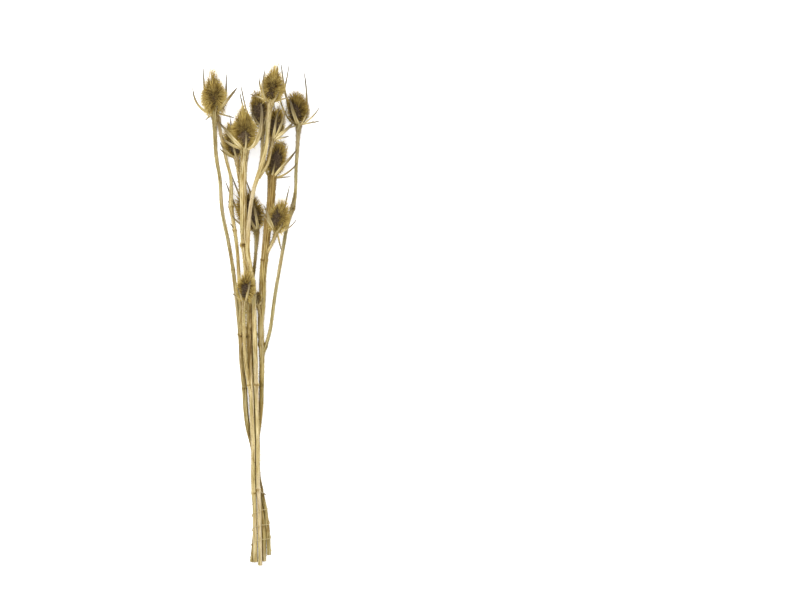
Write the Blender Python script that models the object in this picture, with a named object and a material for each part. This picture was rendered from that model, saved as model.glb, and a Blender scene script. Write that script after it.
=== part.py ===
"""A dried bunch of teasel, lying down: five cut, prickly stems with their branches and bracts, twelve seed
heads and the thin tie near the cut ends. Routes and sizes are in millimetres, as seen from straight above:
X to the right, Y towards the heads, Z up from the surface that the bunch lies on."""

import math

import bmesh
import bpy
from mathutils import Matrix, Vector
from mathutils.bvhtree import BVHTree

MM = 0.001
GAP = 0.35
GOLDEN_ANGLE = math.pi * (3 - math.sqrt(5))
SHARP_ANGLE = math.radians(30)
MERGE_DISTANCE = 0.00001

STEM_SIDES = 8
BRANCH_SIDES = 6
STRAND_STEP = 20

# Bracts: where their cross sections are, how deep they root, how they widen and taper, and how far from their
# neighbours they keep. A bract with a neighbour in its way is tried at ever smaller shares of its length.
BRACT_STEPS = (0.0, 0.22, 0.45, 0.7, 0.9)
BRACT_KEEL = 1.0
BRACT_TIP = 0.5
BRACT_SINK = 0.8
BRACT_ROOT = 0.42
BRACT_TWIST = math.radians(50)
BRACT_NARROW = 0.85
BRACT_WIDEN = 0.7
BRACT_TAPER = 0.8
KEEL_TAPER = 0.4
BRACT_LOWEST = 0.9
EDGE_LOWEST = 0.02
BRACT_SHARES = (1.0, 0.85, 0.7, 0.55, 0.42)
BRACT_PROBES = 8
BRACT_MARGIN = 1.1

# The core of a head: its share of the radius, the tuft's share of the length, how egg-shaped and how full.
CORE_SHARE = 0.64
CORE_SEGMENTS = 9
CORE_RINGS = 7
TUFT = 0.35
EGG = 0.78
FULLNESS = 0.62

# Spines lift from below the head's waist to upright at its top, and get longer there.
SPINE_RADIUS = 0.75
SPINE_ROOT = 1.6
SPINE_ROOT_SHARE = 0.6
SPINE_LOWEST_SHARE = 0.05
SPINE_SPAN = 0.93
SPINE_DROOP = -28
SPINE_LIFT = 112
SPINE_LIFT_POWER = 1.3
SPINE_REACH = 1.05
SPINE_TUFT_REACH = 0.9
SPINE_TUFT_POWER = 4
SPINE_CLEAR = 0.6
SPINE_SHORTEST = 1.5
SPINE_MARGIN = 0.5

# Prickles: few along a strand, and close together in its last stretch below a head.
PRICKLE_LENGTH = 2.6
PRICKLE_RADIUS = 0.9
PRICKLE_ROOT_SHARE = 0.55
PRICKLE_LEAN = 0.8
PRICKLE_START = 14
PRICKLE_SPACING = 40
PRICKLE_CLOSE = 6
PRICKLE_CROWDED = 42
PRICKLE_TIP_MARGIN = 0.8
PRICKLE_MARGIN = 1.1
PRICKLE_LOWEST = 0.4
PRICKLE_CLEAR_OF_TIE = 8

STUB_MIDDLE = 0.7
STUB_TAPER = 0.8
STUB_TIP = 0.5

TIE_RADIUS = 0.45
TIE_CLEAR = 0.45
TIE_START = -272
TIE_END = -332
TIE_TURNS = 3
TIE_STEPS = 16
TIE_SIDES = 4

# Colour and roughness of each material.
STRAW = (0.55, 0.45, 0.22), 0.7
OLIVE_STRAW = (0.46, 0.37, 0.17), 0.75
BRISTLE = (0.33, 0.26, 0.10), 0.8
TWINE = (0.60, 0.50, 0.28), 0.8
OLIVE_STEMS = ("stem_1", "stem_4")

# Each strand is a list of points from its foot up: x, y, z and radius. The first one is the stem itself.
STEMS = {
    "stem_1": {
        "main": [
            (-7, -347, 3.0, 2.9), (-5.2, -330, 4.7, 2.9), (-2.8, -302, 5.0, 2.9), (-3.4, -274, 4.6, 2.8),
            (-4.8, -246, 3.4, 2.8), (-5.3, -218, 3.2, 2.8), (-5.8, -190, 3.7, 2.9), (-12, -162, 7, 3.2),
            (-15.8, -134, 9.5, 3.5), (-18, -99, 12, 3.4), (-22, -64, 14, 3.1), (-23.8, -29, 15, 2.7),
            (-28.7, 20, 16, 2.7), (-33.6, 62, 17, 2.6), (-40.6, 104, 18, 2.5), (-49, 146, 19, 2.5),
            (-51.8, 188, 19.5, 2.5), (-57.4, 223, 20, 2.6), (-59.1, 262, 20, 3.0), (-59.4, 277, 20, 4.2),
            (-59.3, 285.5, 20, 5.4),
        ],
        "shoot": [
            (-22.5, -62, 14, 2.2), (-22.7, -8, 17.5, 2.4), (-23.8, 20, 18.5, 2.4), (-26.6, 76, 19, 2.4),
            (-29.4, 104, 19, 2.4), (-33, 129, 18, 2.5), (-36.4, 153, 16, 3.2), (-36.4, 188, 13, 2.2),
            (-43.4, 218, 11, 2.2), (-49, 244, 9, 2.2), (-52.5, 262, 7.5, 2.6), (-54, 272, 6.5, 3.4),
            (-54.8, 280, 6, 1.2),
        ],
    },
    "stem_2": {
        "main": [
            (-1.8, -347, 8.6, 2.9), (-2.4, -330, 10.8, 2.9), (-2.9, -302, 12.4, 2.9), (-3.2, -274, 13.4, 2.9),
            (-4.9, -246, 14.4, 3.0), (-5.4, -218, 14.5, 3.0), (-5.4, -190, 14.6, 3.0), (-6.3, -162, 15.2, 3.1),
            (-7.2, -134, 16, 3.2), (-8.4, -99, 17.5, 3.4), (-10.5, -64, 19, 3.7), (-10.8, -29, 22, 4.1),
            (-10.6, 5, 25, 4.4), (-11.6, 40, 28, 4.5), (-15.4, 75, 33, 4.5), (-18.2, 104, 38, 4.6),
            (-19.2, 146, 48, 4.7), (-19.2, 188, 60, 4.8), (-18.4, 214, 71, 5.0), (-17.2, 228, 79, 6.2),
            (-16.6, 236, 83, 7.2),
        ],
        "head_03": [(-20, 158, 50, 2.8), (-24, 185, 51, 2.4), (-26.6, 205, 50, 2.6), (-28.7, 222, 50, 4.4)],
        "head_11": [
            (-8.6, -116, 17, 2.2), (-12.4, -92, 20.5, 2.6), (-16.2, -64, 26, 2.5), (-18, -29, 33, 2.5),
            (-18.4, 3, 43.5, 2.8), (-17.2, 20, 50, 4.2),
        ],
    },
    "stem_3": {
        "main": [
            (4.4, -352, 9.6, 2.8), (4.2, -330, 12.4, 2.8), (3.5, -302, 13.4, 2.8), (3.2, -274, 14.2, 2.8),
            (1.9, -246, 14.8, 2.8), (1.3, -218, 14.6, 2.8), (1.3, -190, 14.8, 2.8), (0.8, -162, 15.4, 2.8),
            (0, -134, 17, 2.8), (-1, -99, 21, 2.9), (-2, -64, 25.5, 3.0), (-3, -29, 29.5, 3.0),
            (-4, 5, 33, 3.0), (-4.6, 40, 37, 3.0), (-9.6, 68, 43, 3.0), (-12.8, 86, 48, 3.0),
            (-12.6, 104, 52, 2.9), (-11.6, 125, 57, 2.8), (-10.0, 143, 61, 2.6), (-7.4, 160, 65, 2.6),
            (-3.4, 178, 69, 2.7), (2.0, 195, 73, 3.2), (7, 209, 76, 3.0), (13.3, 237, 82, 2.9),
            (14.9, 258, 86, 2.9), (16.8, 281, 89, 3.2), (19.0, 293, 90, 4.4), (20.2, 301, 91, 5.6),
        ],
        "head_05": [(3.6, 199, 74, 2.4), (7.0, 223, 67, 2.3), (7.7, 244, 60, 2.6), (7.4, 264, 54, 4.6)],
        "head_07": [
            (2.4, 190, 72, 2.4), (9.0, 201, 73, 2.4), (14.6, 211, 71.5, 2.4), (19.4, 233, 69, 2.6),
            (22.6, 247, 67, 4.4),
        ],
    },
    "stem_4": {
        "main": [
            (9.8, -346, 5.0, 2.9), (9.9, -330, 6.6, 2.9), (9.1, -302, 7.6, 2.9), (5.6, -274, 8.4, 2.9),
            (0.4, -246, 8.8, 2.9), (-2, -218, 8.8, 2.9), (-1.8, -190, 8.9, 2.9), (2.2, -162, 9.2, 2.9),
            (5.4, -134, 9.4, 3.0), (6.3, -99, 10, 3.3), (6.7, -64, 12, 3.6), (5.8, -36, 14.5, 3.9),
            (5.6, -8, 17.5, 4.2), (7.2, 13, 20, 4.5), (8.4, 55, 25, 4.8), (12, 93, 31, 5.1),
            (15.4, 125, 34, 5.4), (19.6, 160, 38, 5.4), (20.9, 186, 41, 5.6), (21.6, 196, 42.5, 7.0),
        ],
        "head_06": [
            (8.4, -56, 12.5, 2.4), (12.6, -43, 12.5, 2.4), (16.8, -29, 12, 2.5), (20.3, -11, 12, 2.4),
            (25.2, 27, 11, 2.4), (30.8, 59, 10.5, 2.4), (36.4, 92, 10, 2.4), (40.6, 115, 10, 2.3),
            (44.8, 132, 10, 2.4), (49.7, 148, 10.5, 3.2), (53.9, 174, 11, 2.2), (54.6, 202, 12, 2.2),
            (56.4, 230, 13.5, 2.3), (57.4, 249, 15, 2.6), (58.4, 261, 15.8, 3.6), (58.8, 269, 16.4, 5.0),
        ],
        "head_10": [
            (12, 82, 29, 2.2), (16.4, 90, 34, 2.1), (21.4, 100, 39, 2.1), (25.6, 111, 44, 2.6),
            (27.3, 117, 46.5, 4.0),
        ],
        "head_12": [(5.2, -4, 17.5, 1.8), (3.4, 4, 23.5, 1.8), (0.9, 13, 27, 2.8)],
    },
    "stem_5": {
        "main": [
            (16.8, -337, 3.0, 2.9), (16.2, -324, 4.7, 2.9), (14.9, -302, 5.0, 2.9), (11.6, -274, 4.6, 2.9),
            (5.6, -246, 3.2, 2.9), (1.2, -218, 3.0, 2.9), (1.2, -190, 3.1, 2.9), (-0.8, -162, 3.4, 2.9),
            (-2.6, -134, 3.8, 2.9), (-3.6, -99, 4.6, 2.9), (-4.6, -64, 6, 2.9), (-6, -29, 8, 2.9),
            (-7.8, 5, 9.5, 2.8), (-8, 30, 10.5, 2.4), (-4, 62, 14, 2.1), (-1.4, 90, 17, 2.1),
            (-0.4, 108, 19.5, 3.0), (-2, 121, 22, 4.8),
        ],
    },
}

# Leaf-stalk stubs: the stem they grow from, their foot, their tip and their radius at the foot.
STUBS = {
    "stem_1": [
        ((-34, 150, 16.5), (-41, 158, 18), 1.6), ((-31, 118, 19), (-37.5, 127, 21.5), 1.6),
        ((-24, -30, 15.5), (-21, -26, 20), 1.5),
    ],
    "stem_2": [
        ((-10.6, -32, 22), (-7.5, -30, 28), 1.6), ((-8.6, -99, 18), (-13.5, -97, 19), 1.6),
        ((-17.5, 96, 37), (-22.6, 118, 43), 2.0),
    ],
    "stem_3": [((2.2, -247, 14.8), (13.2, -253.5, 13.4), 1.8), ((-1, -100, 21), (-3.4, -97.5, 25.8), 1.4)],
    "stem_4": [((5.8, -44, 14), (-0.6, -24, 17.5), 2.0), ((49, 148, 10.5), (53.5, 151, 13.5), 1.5)],
    "stem_5": [],
}

# Each head: its length and its radius over the bristles, how far it leans to the right of +Y and up from the
# surface in degrees, how many spines it has, and its bracts. A bract has its angle round the head, from 0 at
# the right over 90 on top to 180 at the left, how far out and how far up its tip is, its width, and its bow:
# above 1 it goes out first and then up.
HEADS = {
    "head_01": (46, 19.5, -3, 2, 84, [
        (180, 27, 37, 3.6, 2.2), (34, 38, 31, 6.4, 1.1), (20, 27, -12, 3.6, 1.0), (150, 15, -14, 2.8, 1.0),
        (236, 21, 60, 2.8, 2.6), (272, 20, 52, 2.8, 2.6), (316, 24, 50, 2.8, 2.2), (75, 15, 7, 2.6, 1.3),
    ]),
    "head_02": (49, 19.5, -4, 8, 84, [
        (138, 44, 42, 5.6, 1.1), (160, 31, 18, 3.8, 1.4), (45, 34, 62, 5.8, 2.2), (84, 19, 24, 3.0, 1.5),
        (-20, 24, 8, 2.8, 1.0), (300, 23, 46, 3.2, 2.0), (262, 22, 48, 3.2, 2.0), (222, 22, 42, 3.2, 2.0),
    ]),
    "head_03": (44, 15.5, -12, -6, 62, [
        (148, 20, 22, 3.2, 1.5), (196, 20, 16, 3.2, 1.4), (100, 14, 20, 2.8, 1.4), (300, 18, 32, 3.0, 1.8),
        (244, 18, 30, 3.0, 1.8), (20, 13, 12, 2.8, 1.2),
    ]),
    "head_04": (42, 18, 6, 8, 72, [
        (166, 30, 5, 3.4, 1.0), (12, 30, 8, 3.4, 0.9), (130, 20, 42, 3.0, 2.4), (62, 17, 14, 3.0, 1.5),
        (-30, 20, 50, 2.6, 2.2), (282, 19, 50, 2.6, 2.2), (234, 20, 44, 2.8, 2.0), (200, 20, 34, 2.8, 1.8),
    ]),
    "head_05": (47, 14.5, -10, -6, 62, [
        (186, 18, 66, 2.6, 2.6), (208, 24, 54, 2.6, 2.2), (280, 18, 50, 2.8, 2.0), (60, 15, 18, 2.8, 1.4),
        (10, 20, 26, 3.0, 1.5), (130, 15, 22, 2.8, 1.4),
    ]),
    "head_06": (41, 17, -8, 0, 70, [
        (230, 19, 84, 3.2, 2.6), (-40, 20, 69, 2.8, 2.4), (206, 24, 74, 2.6, 2.4), (112, 20, 36, 5.0, 1.6),
        (-8, 28, -3, 3.2, 1.0), (6, 29, 18, 2.8, 1.5), (172, 15, -7, 4.6, 1.0), (44, 18, 14, 3.0, 1.3),
    ]),
    "head_07": (42, 13.5, 12, -6, 60, [
        (92, 14, 40, 4.0, 1.8), (60, 18, 44, 3.6, 1.6), (36, 27, 26, 6.2, 1.2), (14, 20, 6, 3.6, 1.0),
        (-14, 19, -5, 3.2, 1.0), (160, 15, 20, 3.0, 1.6), (290, 16, 38, 3.0, 2.0), (236, 16, 34, 3.0, 2.0),
    ]),
    "head_08": (47, 14.5, 15, 3, 66, [
        (8, 26, 24, 4.6, 1.5), (-14, 24, 3, 3.0, 1.0), (46, 31, 43, 5.0, 1.1), (92, 13, 20, 3.0, 1.2),
        (158, 15, 24, 3.4, 1.4), (300, 19, 44, 3.0, 2.0), (250, 18, 40, 3.0, 2.0), (206, 18, 32, 3.0, 1.8),
    ]),
    "head_09": (51, 18, -20, 6, 80, [
        (254, 21, 82, 2.8, 2.5), (296, 21, 78, 2.8, 2.5), (226, 23, 76, 2.8, 2.5), (66, 20, 44, 4.0, 1.6),
        (100, 15, 30, 3.4, 1.6), (166, 24, 30, 3.2, 1.5), (12, 22, 22, 3.2, 1.6),
    ]),
    "head_10": (41, 15.5, 12, 5, 64, [
        (135, 34, 34, 4.4, 1.05), (158, 26, 25, 3.4, 1.1), (286, 16, 64, 2.6, 2.4), (-42, 18, 56, 2.6, 2.0),
        (2, 22, 22, 3.0, 1.5), (-24, 12, -27, 2.6, 1.0), (66, 15, 14, 2.8, 1.3),
    ]),
    "head_11": (36, 14, 5, 6, 56, [
        (72, 17, 30, 3.6, 1.4), (172, 17, 8, 3.4, 1.0), (8, 15, 13, 3.0, 1.3), (320, 15, 28, 2.8, 1.8),
        (240, 14, 26, 2.8, 1.8), (132, 15, 18, 3.0, 1.3),
    ]),
    "head_12": (19, 5.6, 4, 8, 22, [(35, 7, 11, 2.4, 1.2), (90, 6, 10, 2.2, 1.3), (150, 4, 4.4, 2.2, 1.3)]),
}
# The heads that end the stems themselves. Every other head ends the branch that has its name.
MAIN_HEADS = {
    "head_01": "stem_1", "head_02": "stem_2", "head_04": "stem_3", "head_08": "stem_4", "head_09": "stem_5",
}


def smooth(route):
    """Points read from a smooth curve through a route's own points, about STRAND_STEP apart."""
    points = [Vector(point) for point in route]
    ends = [2 * points[0] - points[1], *points, 2 * points[-1] - points[-2]]
    curve = []
    for before, a, b, after in zip(ends, points, points[1:], ends[3:]):
        pieces = max(1, round((b - a).length / STRAND_STEP))
        for t in (k / pieces for k in range(pieces)):
            square = (2 * before - 5 * a + 4 * b - after) * t**2
            cube = (3 * a - 3 * b + after - before) * t**3
            curve.append(a + ((b - before) * t + square + cube) / 2)
    return [tuple(point) for point in (*curve, points[-1])]


STRANDS = {stem: {name: smooth(route) for name, route in routes.items()} for stem, routes in STEMS.items()}


def stem_of(head):
    """The stem and the strand that carry this head."""
    if head in MAIN_HEADS:
        return MAIN_HEADS[head], "main"
    return next(stem for stem, strands in STEMS.items() if head in strands), head


def head_frame(head):
    """The head's foot, its axis, and the directions to its right and to its top."""
    stem, strand = stem_of(head)
    lean, rise = (math.radians(angle) for angle in HEADS[head][2:4])
    axis = Vector((math.sin(lean) * math.cos(rise), math.cos(lean) * math.cos(rise), math.sin(rise)))
    right = Vector((math.cos(lean), -math.sin(lean), 0))
    foot = Vector(STEMS[stem][strand][-1][:3])
    return foot, axis, right, right.cross(axis)


def material(name, colour, roughness):
    mat = bpy.data.materials.new(name)
    mat.use_nodes = True
    shader = mat.node_tree.nodes["Principled BSDF"]
    shader.inputs["Base Color"].default_value = (*colour, 1)
    shader.inputs["Roughness"].default_value = roughness
    shader.inputs["Metallic"].default_value = 0
    return mat


def mesh_object(name, bm):
    mesh = bpy.data.meshes.new(name)
    bm.to_mesh(mesh)
    bm.free()
    return bpy.data.objects.new(name, mesh)


def tube(name, points, sides):
    """A closed tube along points of x, y, z and radius, as a mesh."""
    curve = bpy.data.curves.new(name, "CURVE")
    curve.dimensions = "3D"
    curve.bevel_depth = MM
    curve.bevel_resolution = (sides - 4) // 2
    curve.use_fill_caps = True
    spline = curve.splines.new("POLY")
    spline.points.add(len(points) - 1)
    for point, (x, y, z, radius) in zip(spline.points, points):
        point.co = (x * MM, y * MM, z * MM, 1)
        point.radius = radius
    guide = bpy.data.objects.new(name, curve)
    bpy.context.scene.collection.objects.link(guide)
    evaluated = guide.evaluated_get(bpy.context.evaluated_depsgraph_get())
    mesh = bpy.data.meshes.new_from_object(evaluated)
    bpy.data.objects.remove(guide)
    bpy.data.curves.remove(curve)
    bm = bmesh.new()
    bm.from_mesh(mesh)
    bmesh.ops.remove_doubles(bm, verts=bm.verts, dist=MERGE_DISTANCE)
    bm.to_mesh(mesh)
    bm.free()
    return bpy.data.objects.new(name, mesh)


def spike(foot, tip, radius):
    """A three-sided needle from foot to tip."""
    along = tip - foot
    bm = bmesh.new()
    turn = along.to_track_quat("Z", "X").to_matrix().to_4x4()
    place = Matrix.Translation((foot + tip) / 2 * MM) @ turn
    bmesh.ops.create_cone(
        bm, cap_ends=True, segments=3, radius1=radius * MM, radius2=0, depth=along.length * MM, matrix=place
    )
    return mesh_object("spike", bm)


def bract_points(head, angle, out, up, bow, share):
    """The middle line of a bract at BRACT_STEPS and its tip, with the direction across it."""
    foot, axis, right, top = head_frame(head)
    angle = math.radians(angle)
    outward = right * math.cos(angle) + top * math.sin(angle)
    twist = math.copysign(BRACT_TWIST, -math.sin(angle)) * math.cos(angle)
    across = outward.cross(axis) * math.cos(twist) + outward * math.sin(twist)
    stem, strand = stem_of(head)
    swelling = STEMS[stem][strand][-1][3]
    sink = BRACT_SINK * swelling
    points = []
    for step in (*BRACT_STEPS, 1.0):
        t = step * share
        reach = out * (1 - (1 - t) ** bow) + BRACT_ROOT * swelling
        rise = (up + sink) * t ** ((1 + bow) / 2) - sink
        point = foot + outward * reach + axis * rise
        point.z = max(point.z, BRACT_LOWEST)
        points.append(point)
    return points, across


def bract(head, angle, out, up, width, bow, share):
    """A keeled blade, three-sided, that tapers to a point."""
    points, across = bract_points(head, angle, out, up, bow, share)
    bm = bmesh.new()
    rings = []
    for i, step in enumerate(BRACT_STEPS):
        along = (points[i + 1] - points[max(i - 1, 0)]).normalized()
        below = along.cross(across).normalized()
        half = max(width / 2 * (BRACT_NARROW + BRACT_WIDEN * step) * (1 - step) ** BRACT_TAPER, BRACT_TIP)
        keel = max(BRACT_KEEL * (1 - KEEL_TAPER * step), BRACT_TIP)
        corners = (points[i] + across * half, points[i] - across * half, points[i] + below * keel)
        for corner in corners:
            corner.z = max(corner.z, EDGE_LOWEST)
        rings.append([bm.verts.new(corner * MM) for corner in corners])
    tip = bm.verts.new(points[-1] * MM)
    for low, high in zip(rings, rings[1:]):
        for k in range(3):
            bm.faces.new((low[k], low[k - 2], high[k - 2]))
            bm.faces.new((low[k], high[k - 2], high[k]))
    for k in range(3):
        bm.faces.new((rings[-1][k], rings[-1][k - 2], tip))
    bm.faces.new(rings[0])
    bmesh.ops.recalc_face_normals(bm, faces=bm.faces)
    return mesh_object("bract", bm)


def core_radius(radius, share):
    """The egg-shaped core's radius at this share of its length."""
    return CORE_SHARE * radius * math.sin(math.pi * share ** EGG) ** FULLNESS


def core(head):
    """The egg-shaped core, its foot just clear of the stem's top."""
    foot, axis, right, top = head_frame(head)
    length, radius = HEADS[head][:2]
    tall = length - TUFT * radius
    bm = bmesh.new()
    bmesh.ops.create_uvsphere(bm, u_segments=CORE_SEGMENTS, v_segments=CORE_RINGS, radius=1)
    for vert in bm.verts:
        share = (1 + max(-1, min(1, vert.co.z))) / 2
        flat = Vector((vert.co.x, vert.co.y))
        flat = flat.normalized() * core_radius(radius, share) if 0 < share < 1 else Vector((0, 0))
        vert.co = (foot + axis * (GAP + tall * share) + right * flat.x + top * flat.y) * MM
    bm.normal_update()
    bmesh.ops.recalc_face_normals(bm, faces=bm.faces)
    return mesh_object(head, bm)


def spine_lines(head):
    """The root and tip of each spine: evenly round the core, flat out at its middle and upright at its top."""
    foot, axis, right, top = head_frame(head)
    length, radius = HEADS[head][:2]
    count = HEADS[head][4]
    tall = length - TUFT * radius
    for i in range(count):
        share = SPINE_LOWEST_SHARE + SPINE_SPAN * (i + 0.5) / count
        turn = i * GOLDEN_ANGLE
        outward = right * math.cos(turn) + top * math.sin(turn)
        lift = math.radians(SPINE_DROOP + SPINE_LIFT * share ** SPINE_LIFT_POWER)
        way = outward * math.cos(lift) + axis * math.sin(lift)
        wide = core_radius(radius, share)
        root = foot + axis * (GAP + tall * share) + outward * wide
        reach = radius * (1 - CORE_SHARE) * (SPINE_REACH + SPINE_TUFT_REACH * share ** SPINE_TUFT_POWER)
        tip = root + way * reach
        tip.z = max(tip.z, 0)
        yield root - way * min(SPINE_ROOT, SPINE_ROOT_SHARE * wide), tip


def free_reach(root, way, reach, trees):
    """How far a spine gets along its way before it, or what is just beside it, meets another node."""
    side = way.orthogonal().normalized()
    other = way.cross(side)
    for tree in trees:
        for offset in (Vector((0, 0, 0)), side, -side, other, -other):
            start = root + offset * (SPINE_RADIUS + GAP)
            hit = tree.ray_cast(start * MM, way, (reach + GAP) * MM)
            if hit[0] is not None:
                reach = min(reach, hit[3] / MM - SPINE_CLEAR)
    return reach


def spines(head, own, others):
    """The spines of a head, each as long as its neighbours leave room for."""
    found = []
    for root, tip in spine_lines(head):
        way = (tip - root).normalized()
        reach = free_reach(root, way, (tip - root).length, others)
        end = root + way * reach
        inside = own.ray_cast(end * MM, way)[0] is not None
        if reach > SPINE_ROOT + SPINE_SHORTEST and not inside and not near(end, others, SPINE_MARGIN):
            found.append(spike(root, end, SPINE_RADIUS))
    return found


def tree_of(obj):
    bm = bmesh.new()
    bm.from_mesh(obj.data)
    tree = BVHTree.FromBMesh(bm)
    bm.free()
    return tree


def near(point, trees, margin):
    """Whether this point in millimetres is within the margin of any of these surfaces."""
    return any(tree.find_nearest(point * MM, margin * MM)[0] is not None for tree in trees)


def clear_share(head, angle, out, up, width, bow, trees):
    """How much of this bract stays clear of its neighbours, between 0 and 1."""
    for share in BRACT_SHARES:
        points, across = bract_points(head, angle, out, up, bow, share)
        probes = [points[-1]]
        for a, b in zip(points[1:], points[2:]):
            for k in range(BRACT_PROBES):
                middle = a.lerp(b, k / BRACT_PROBES)
                probes += [middle, middle + across * width / 2, middle - across * width / 2]
        if not any(near(probe, trees, BRACT_MARGIN) for probe in probes):
            return share
    return 0


def fuse(name, pieces, mat):
    """One body from overlapping pieces: the first is joined with all the others."""
    body = pieces[0]
    body.name = name
    bpy.context.scene.collection.objects.link(body)
    extra = bpy.data.collections.new(f"{name}_pieces")
    for piece in pieces[1:]:
        extra.objects.link(piece)
    join = body.modifiers.new("join", "BOOLEAN")
    join.operation = "UNION"
    join.operand_type = "COLLECTION"
    join.collection = extra
    join.solver = "EXACT"
    mesh = bpy.data.meshes.new_from_object(body.evaluated_get(bpy.context.evaluated_depsgraph_get()))
    body.modifiers.clear()
    body.data = mesh
    mesh.name = name
    for piece in pieces[1:]:
        bpy.data.objects.remove(piece)
    bpy.data.collections.remove(extra)
    bpy.context.scene.collection.objects.unlink(body)
    mesh.materials.clear()
    mesh.materials.append(mat)
    mesh.shade_smooth()
    mesh.set_sharp_from_angle(angle=SHARP_ANGLE)
    return body


def stub(foot, tip, radius):
    """The stump of a leaf's stalk."""
    middle = Vector(foot).lerp(Vector(tip), STUB_MIDDLE)
    return tube("stub", [(*foot, radius), (*middle, radius * STUB_TAPER), (*tip, STUB_TIP)], BRANCH_SIDES)


def prickles(strand, trees):
    """Short spikes all round a strand, close together in its last stretch below the head."""
    found = []
    turn = 0
    run = 0
    total = sum((Vector(b[:3]) - Vector(a[:3])).length for a, b in zip(strand, strand[1:]))
    following = PRICKLE_START
    for a, b in zip(strand, strand[1:]):
        foot = Vector(a[:3])
        way = Vector(b[:3]) - foot
        length = way.length
        way.normalize()
        side = way.orthogonal().normalized()
        while following < run + length:
            t = following - run
            turn += GOLDEN_ANGLE
            radius = a[3] + (b[3] - a[3]) * t / length
            out = side * math.cos(turn) + way.cross(side) * math.sin(turn)
            root = foot + way * t + out * radius * PRICKLE_ROOT_SHARE
            tip = foot + way * t + out * (radius + PRICKLE_LENGTH) + way * PRICKLE_LEAN
            middle = (root + tip) / 2
            free = not near(tip, trees, PRICKLE_TIP_MARGIN) and not near(middle, trees, PRICKLE_MARGIN)
            if free and tip.z > PRICKLE_LOWEST and tip.y > TIE_START + PRICKLE_CLEAR_OF_TIE:
                found.append(spike(root, tip, PRICKLE_RADIUS))
            following += PRICKLE_CLOSE if following > total - PRICKLE_CROWDED else PRICKLE_SPACING
        run += length
    return found


def cut_at(strand, y):
    """The middle and radius of a strand where it crosses this y."""
    a, b = next((a, b) for a, b in zip(strand, strand[1:]) if a[1] <= y < b[1])
    t = (y - a[1]) / (b[1] - a[1])
    return Vector(a[:3]).lerp(Vector(b[:3]), t), a[3] + (b[3] - a[3]) * t


def tie_points():
    """Turns of a thin cord round all five stems, a little outside their common outline."""
    points = []
    count = TIE_STEPS * TIE_TURNS
    for i in range(count + 1):
        y = TIE_START + (TIE_END - TIE_START) * i / count
        turn = 2 * math.pi * TIE_TURNS * i / count
        look = Vector((math.cos(turn), 0, math.sin(turn)))
        cuts = [cut_at(routes["main"], y) for routes in STRANDS.values()]
        middle, radius = max(cuts, key=lambda cut: cut[0].dot(look) + cut[1])
        points.append((*(middle + look * (radius + TIE_CLEAR + TIE_RADIUS)), TIE_RADIUS))
    return points


def build():
    for obj in list(bpy.data.objects):
        bpy.data.objects.remove(obj)
    bunch = bpy.data.collections.new("teasel_bunch")
    bpy.context.scene.collection.children.link(bunch)

    # Stems and their side branches, still without bracts.
    strands = {
        stem: [
            tube(f"{stem}_{name}", points, STEM_SIDES if name == "main" else BRANCH_SIDES)
            for name, points in routes.items()
        ]
        for stem, routes in STRANDS.items()
    }
    cores = {head: core(head) for head in HEADS}
    core_trees = [tree_of(obj) for obj in cores.values()]
    stem_trees = {stem: [tree_of(obj) for obj in objs] for stem, objs in strands.items()}

    # Bracts, each as long as its neighbours on other stems and the heads leave room for.
    for head, shapes in HEADS.items():
        stem = stem_of(head)[0]
        for angle, out, up, width, bow in shapes[5]:
            others = [tree for name, trees in stem_trees.items() if name != stem for tree in trees]
            share = clear_share(head, angle, out, up, width, bow, others + core_trees)
            if share:
                blade = bract(head, angle, out, up, width, bow, share)
                strands[stem].append(blade)
                stem_trees[stem].append(tree_of(blade))

    # Leaf-stalk stubs and prickles.
    for stem, routes in STRANDS.items():
        strands[stem] += [stub(*shape) for shape in STUBS[stem]]
        others = [tree for name, trees in stem_trees.items() if name != stem for tree in trees]
        for route in routes.values():
            spikes = prickles(route, others + core_trees)
            strands[stem] += spikes
            stem_trees[stem] += [tree_of(prickle) for prickle in spikes]

    straw = material("straw", *STRAW)
    olive_straw = material("olive_straw", *OLIVE_STRAW)
    bristle = material("bristle", *BRISTLE)
    twine = material("twine", *TWINE)

    # Heads come after the stems, because their spines make room for them.
    made = []
    for stem, pieces in strands.items():
        made.append(fuse(stem, pieces, olive_straw if stem in OLIVE_STEMS else straw))
    built = [tree_of(obj) for obj in made]
    for head in HEADS:
        made.append(fuse(head, [cores[head], *spines(head, tree_of(cores[head]), built)], bristle))
        built.append(tree_of(made[-1]))

    tie = tube("tie", tie_points(), TIE_SIDES)
    tie.data.materials.append(twine)
    tie.data.shade_smooth()
    made.append(tie)

    # The origin is at the middle of the bunch's outline, on the surface.
    corners = [vert.co for obj in made for vert in obj.data.vertices]
    middle_x = (min(c.x for c in corners) + max(c.x for c in corners)) / 2
    middle_y = (min(c.y for c in corners) + max(c.y for c in corners)) / 2
    lowest = min(c.z for c in corners)
    for obj in made:
        bunch.objects.link(obj)
        obj.data.transform(Matrix.Translation((-middle_x, -middle_y, -lowest)))


build()
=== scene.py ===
"""The finished look of a dried bunch of teasel: ribbed, prickly stems, keeled bracts, bristly heads and the thin tie.
Routes and sizes are in millimetres, as seen from straight above: X to the right, Y towards the heads, Z up."""

import math

import bpy
import numpy as np
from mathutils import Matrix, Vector
from mathutils.bvhtree import BVHTree


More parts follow.
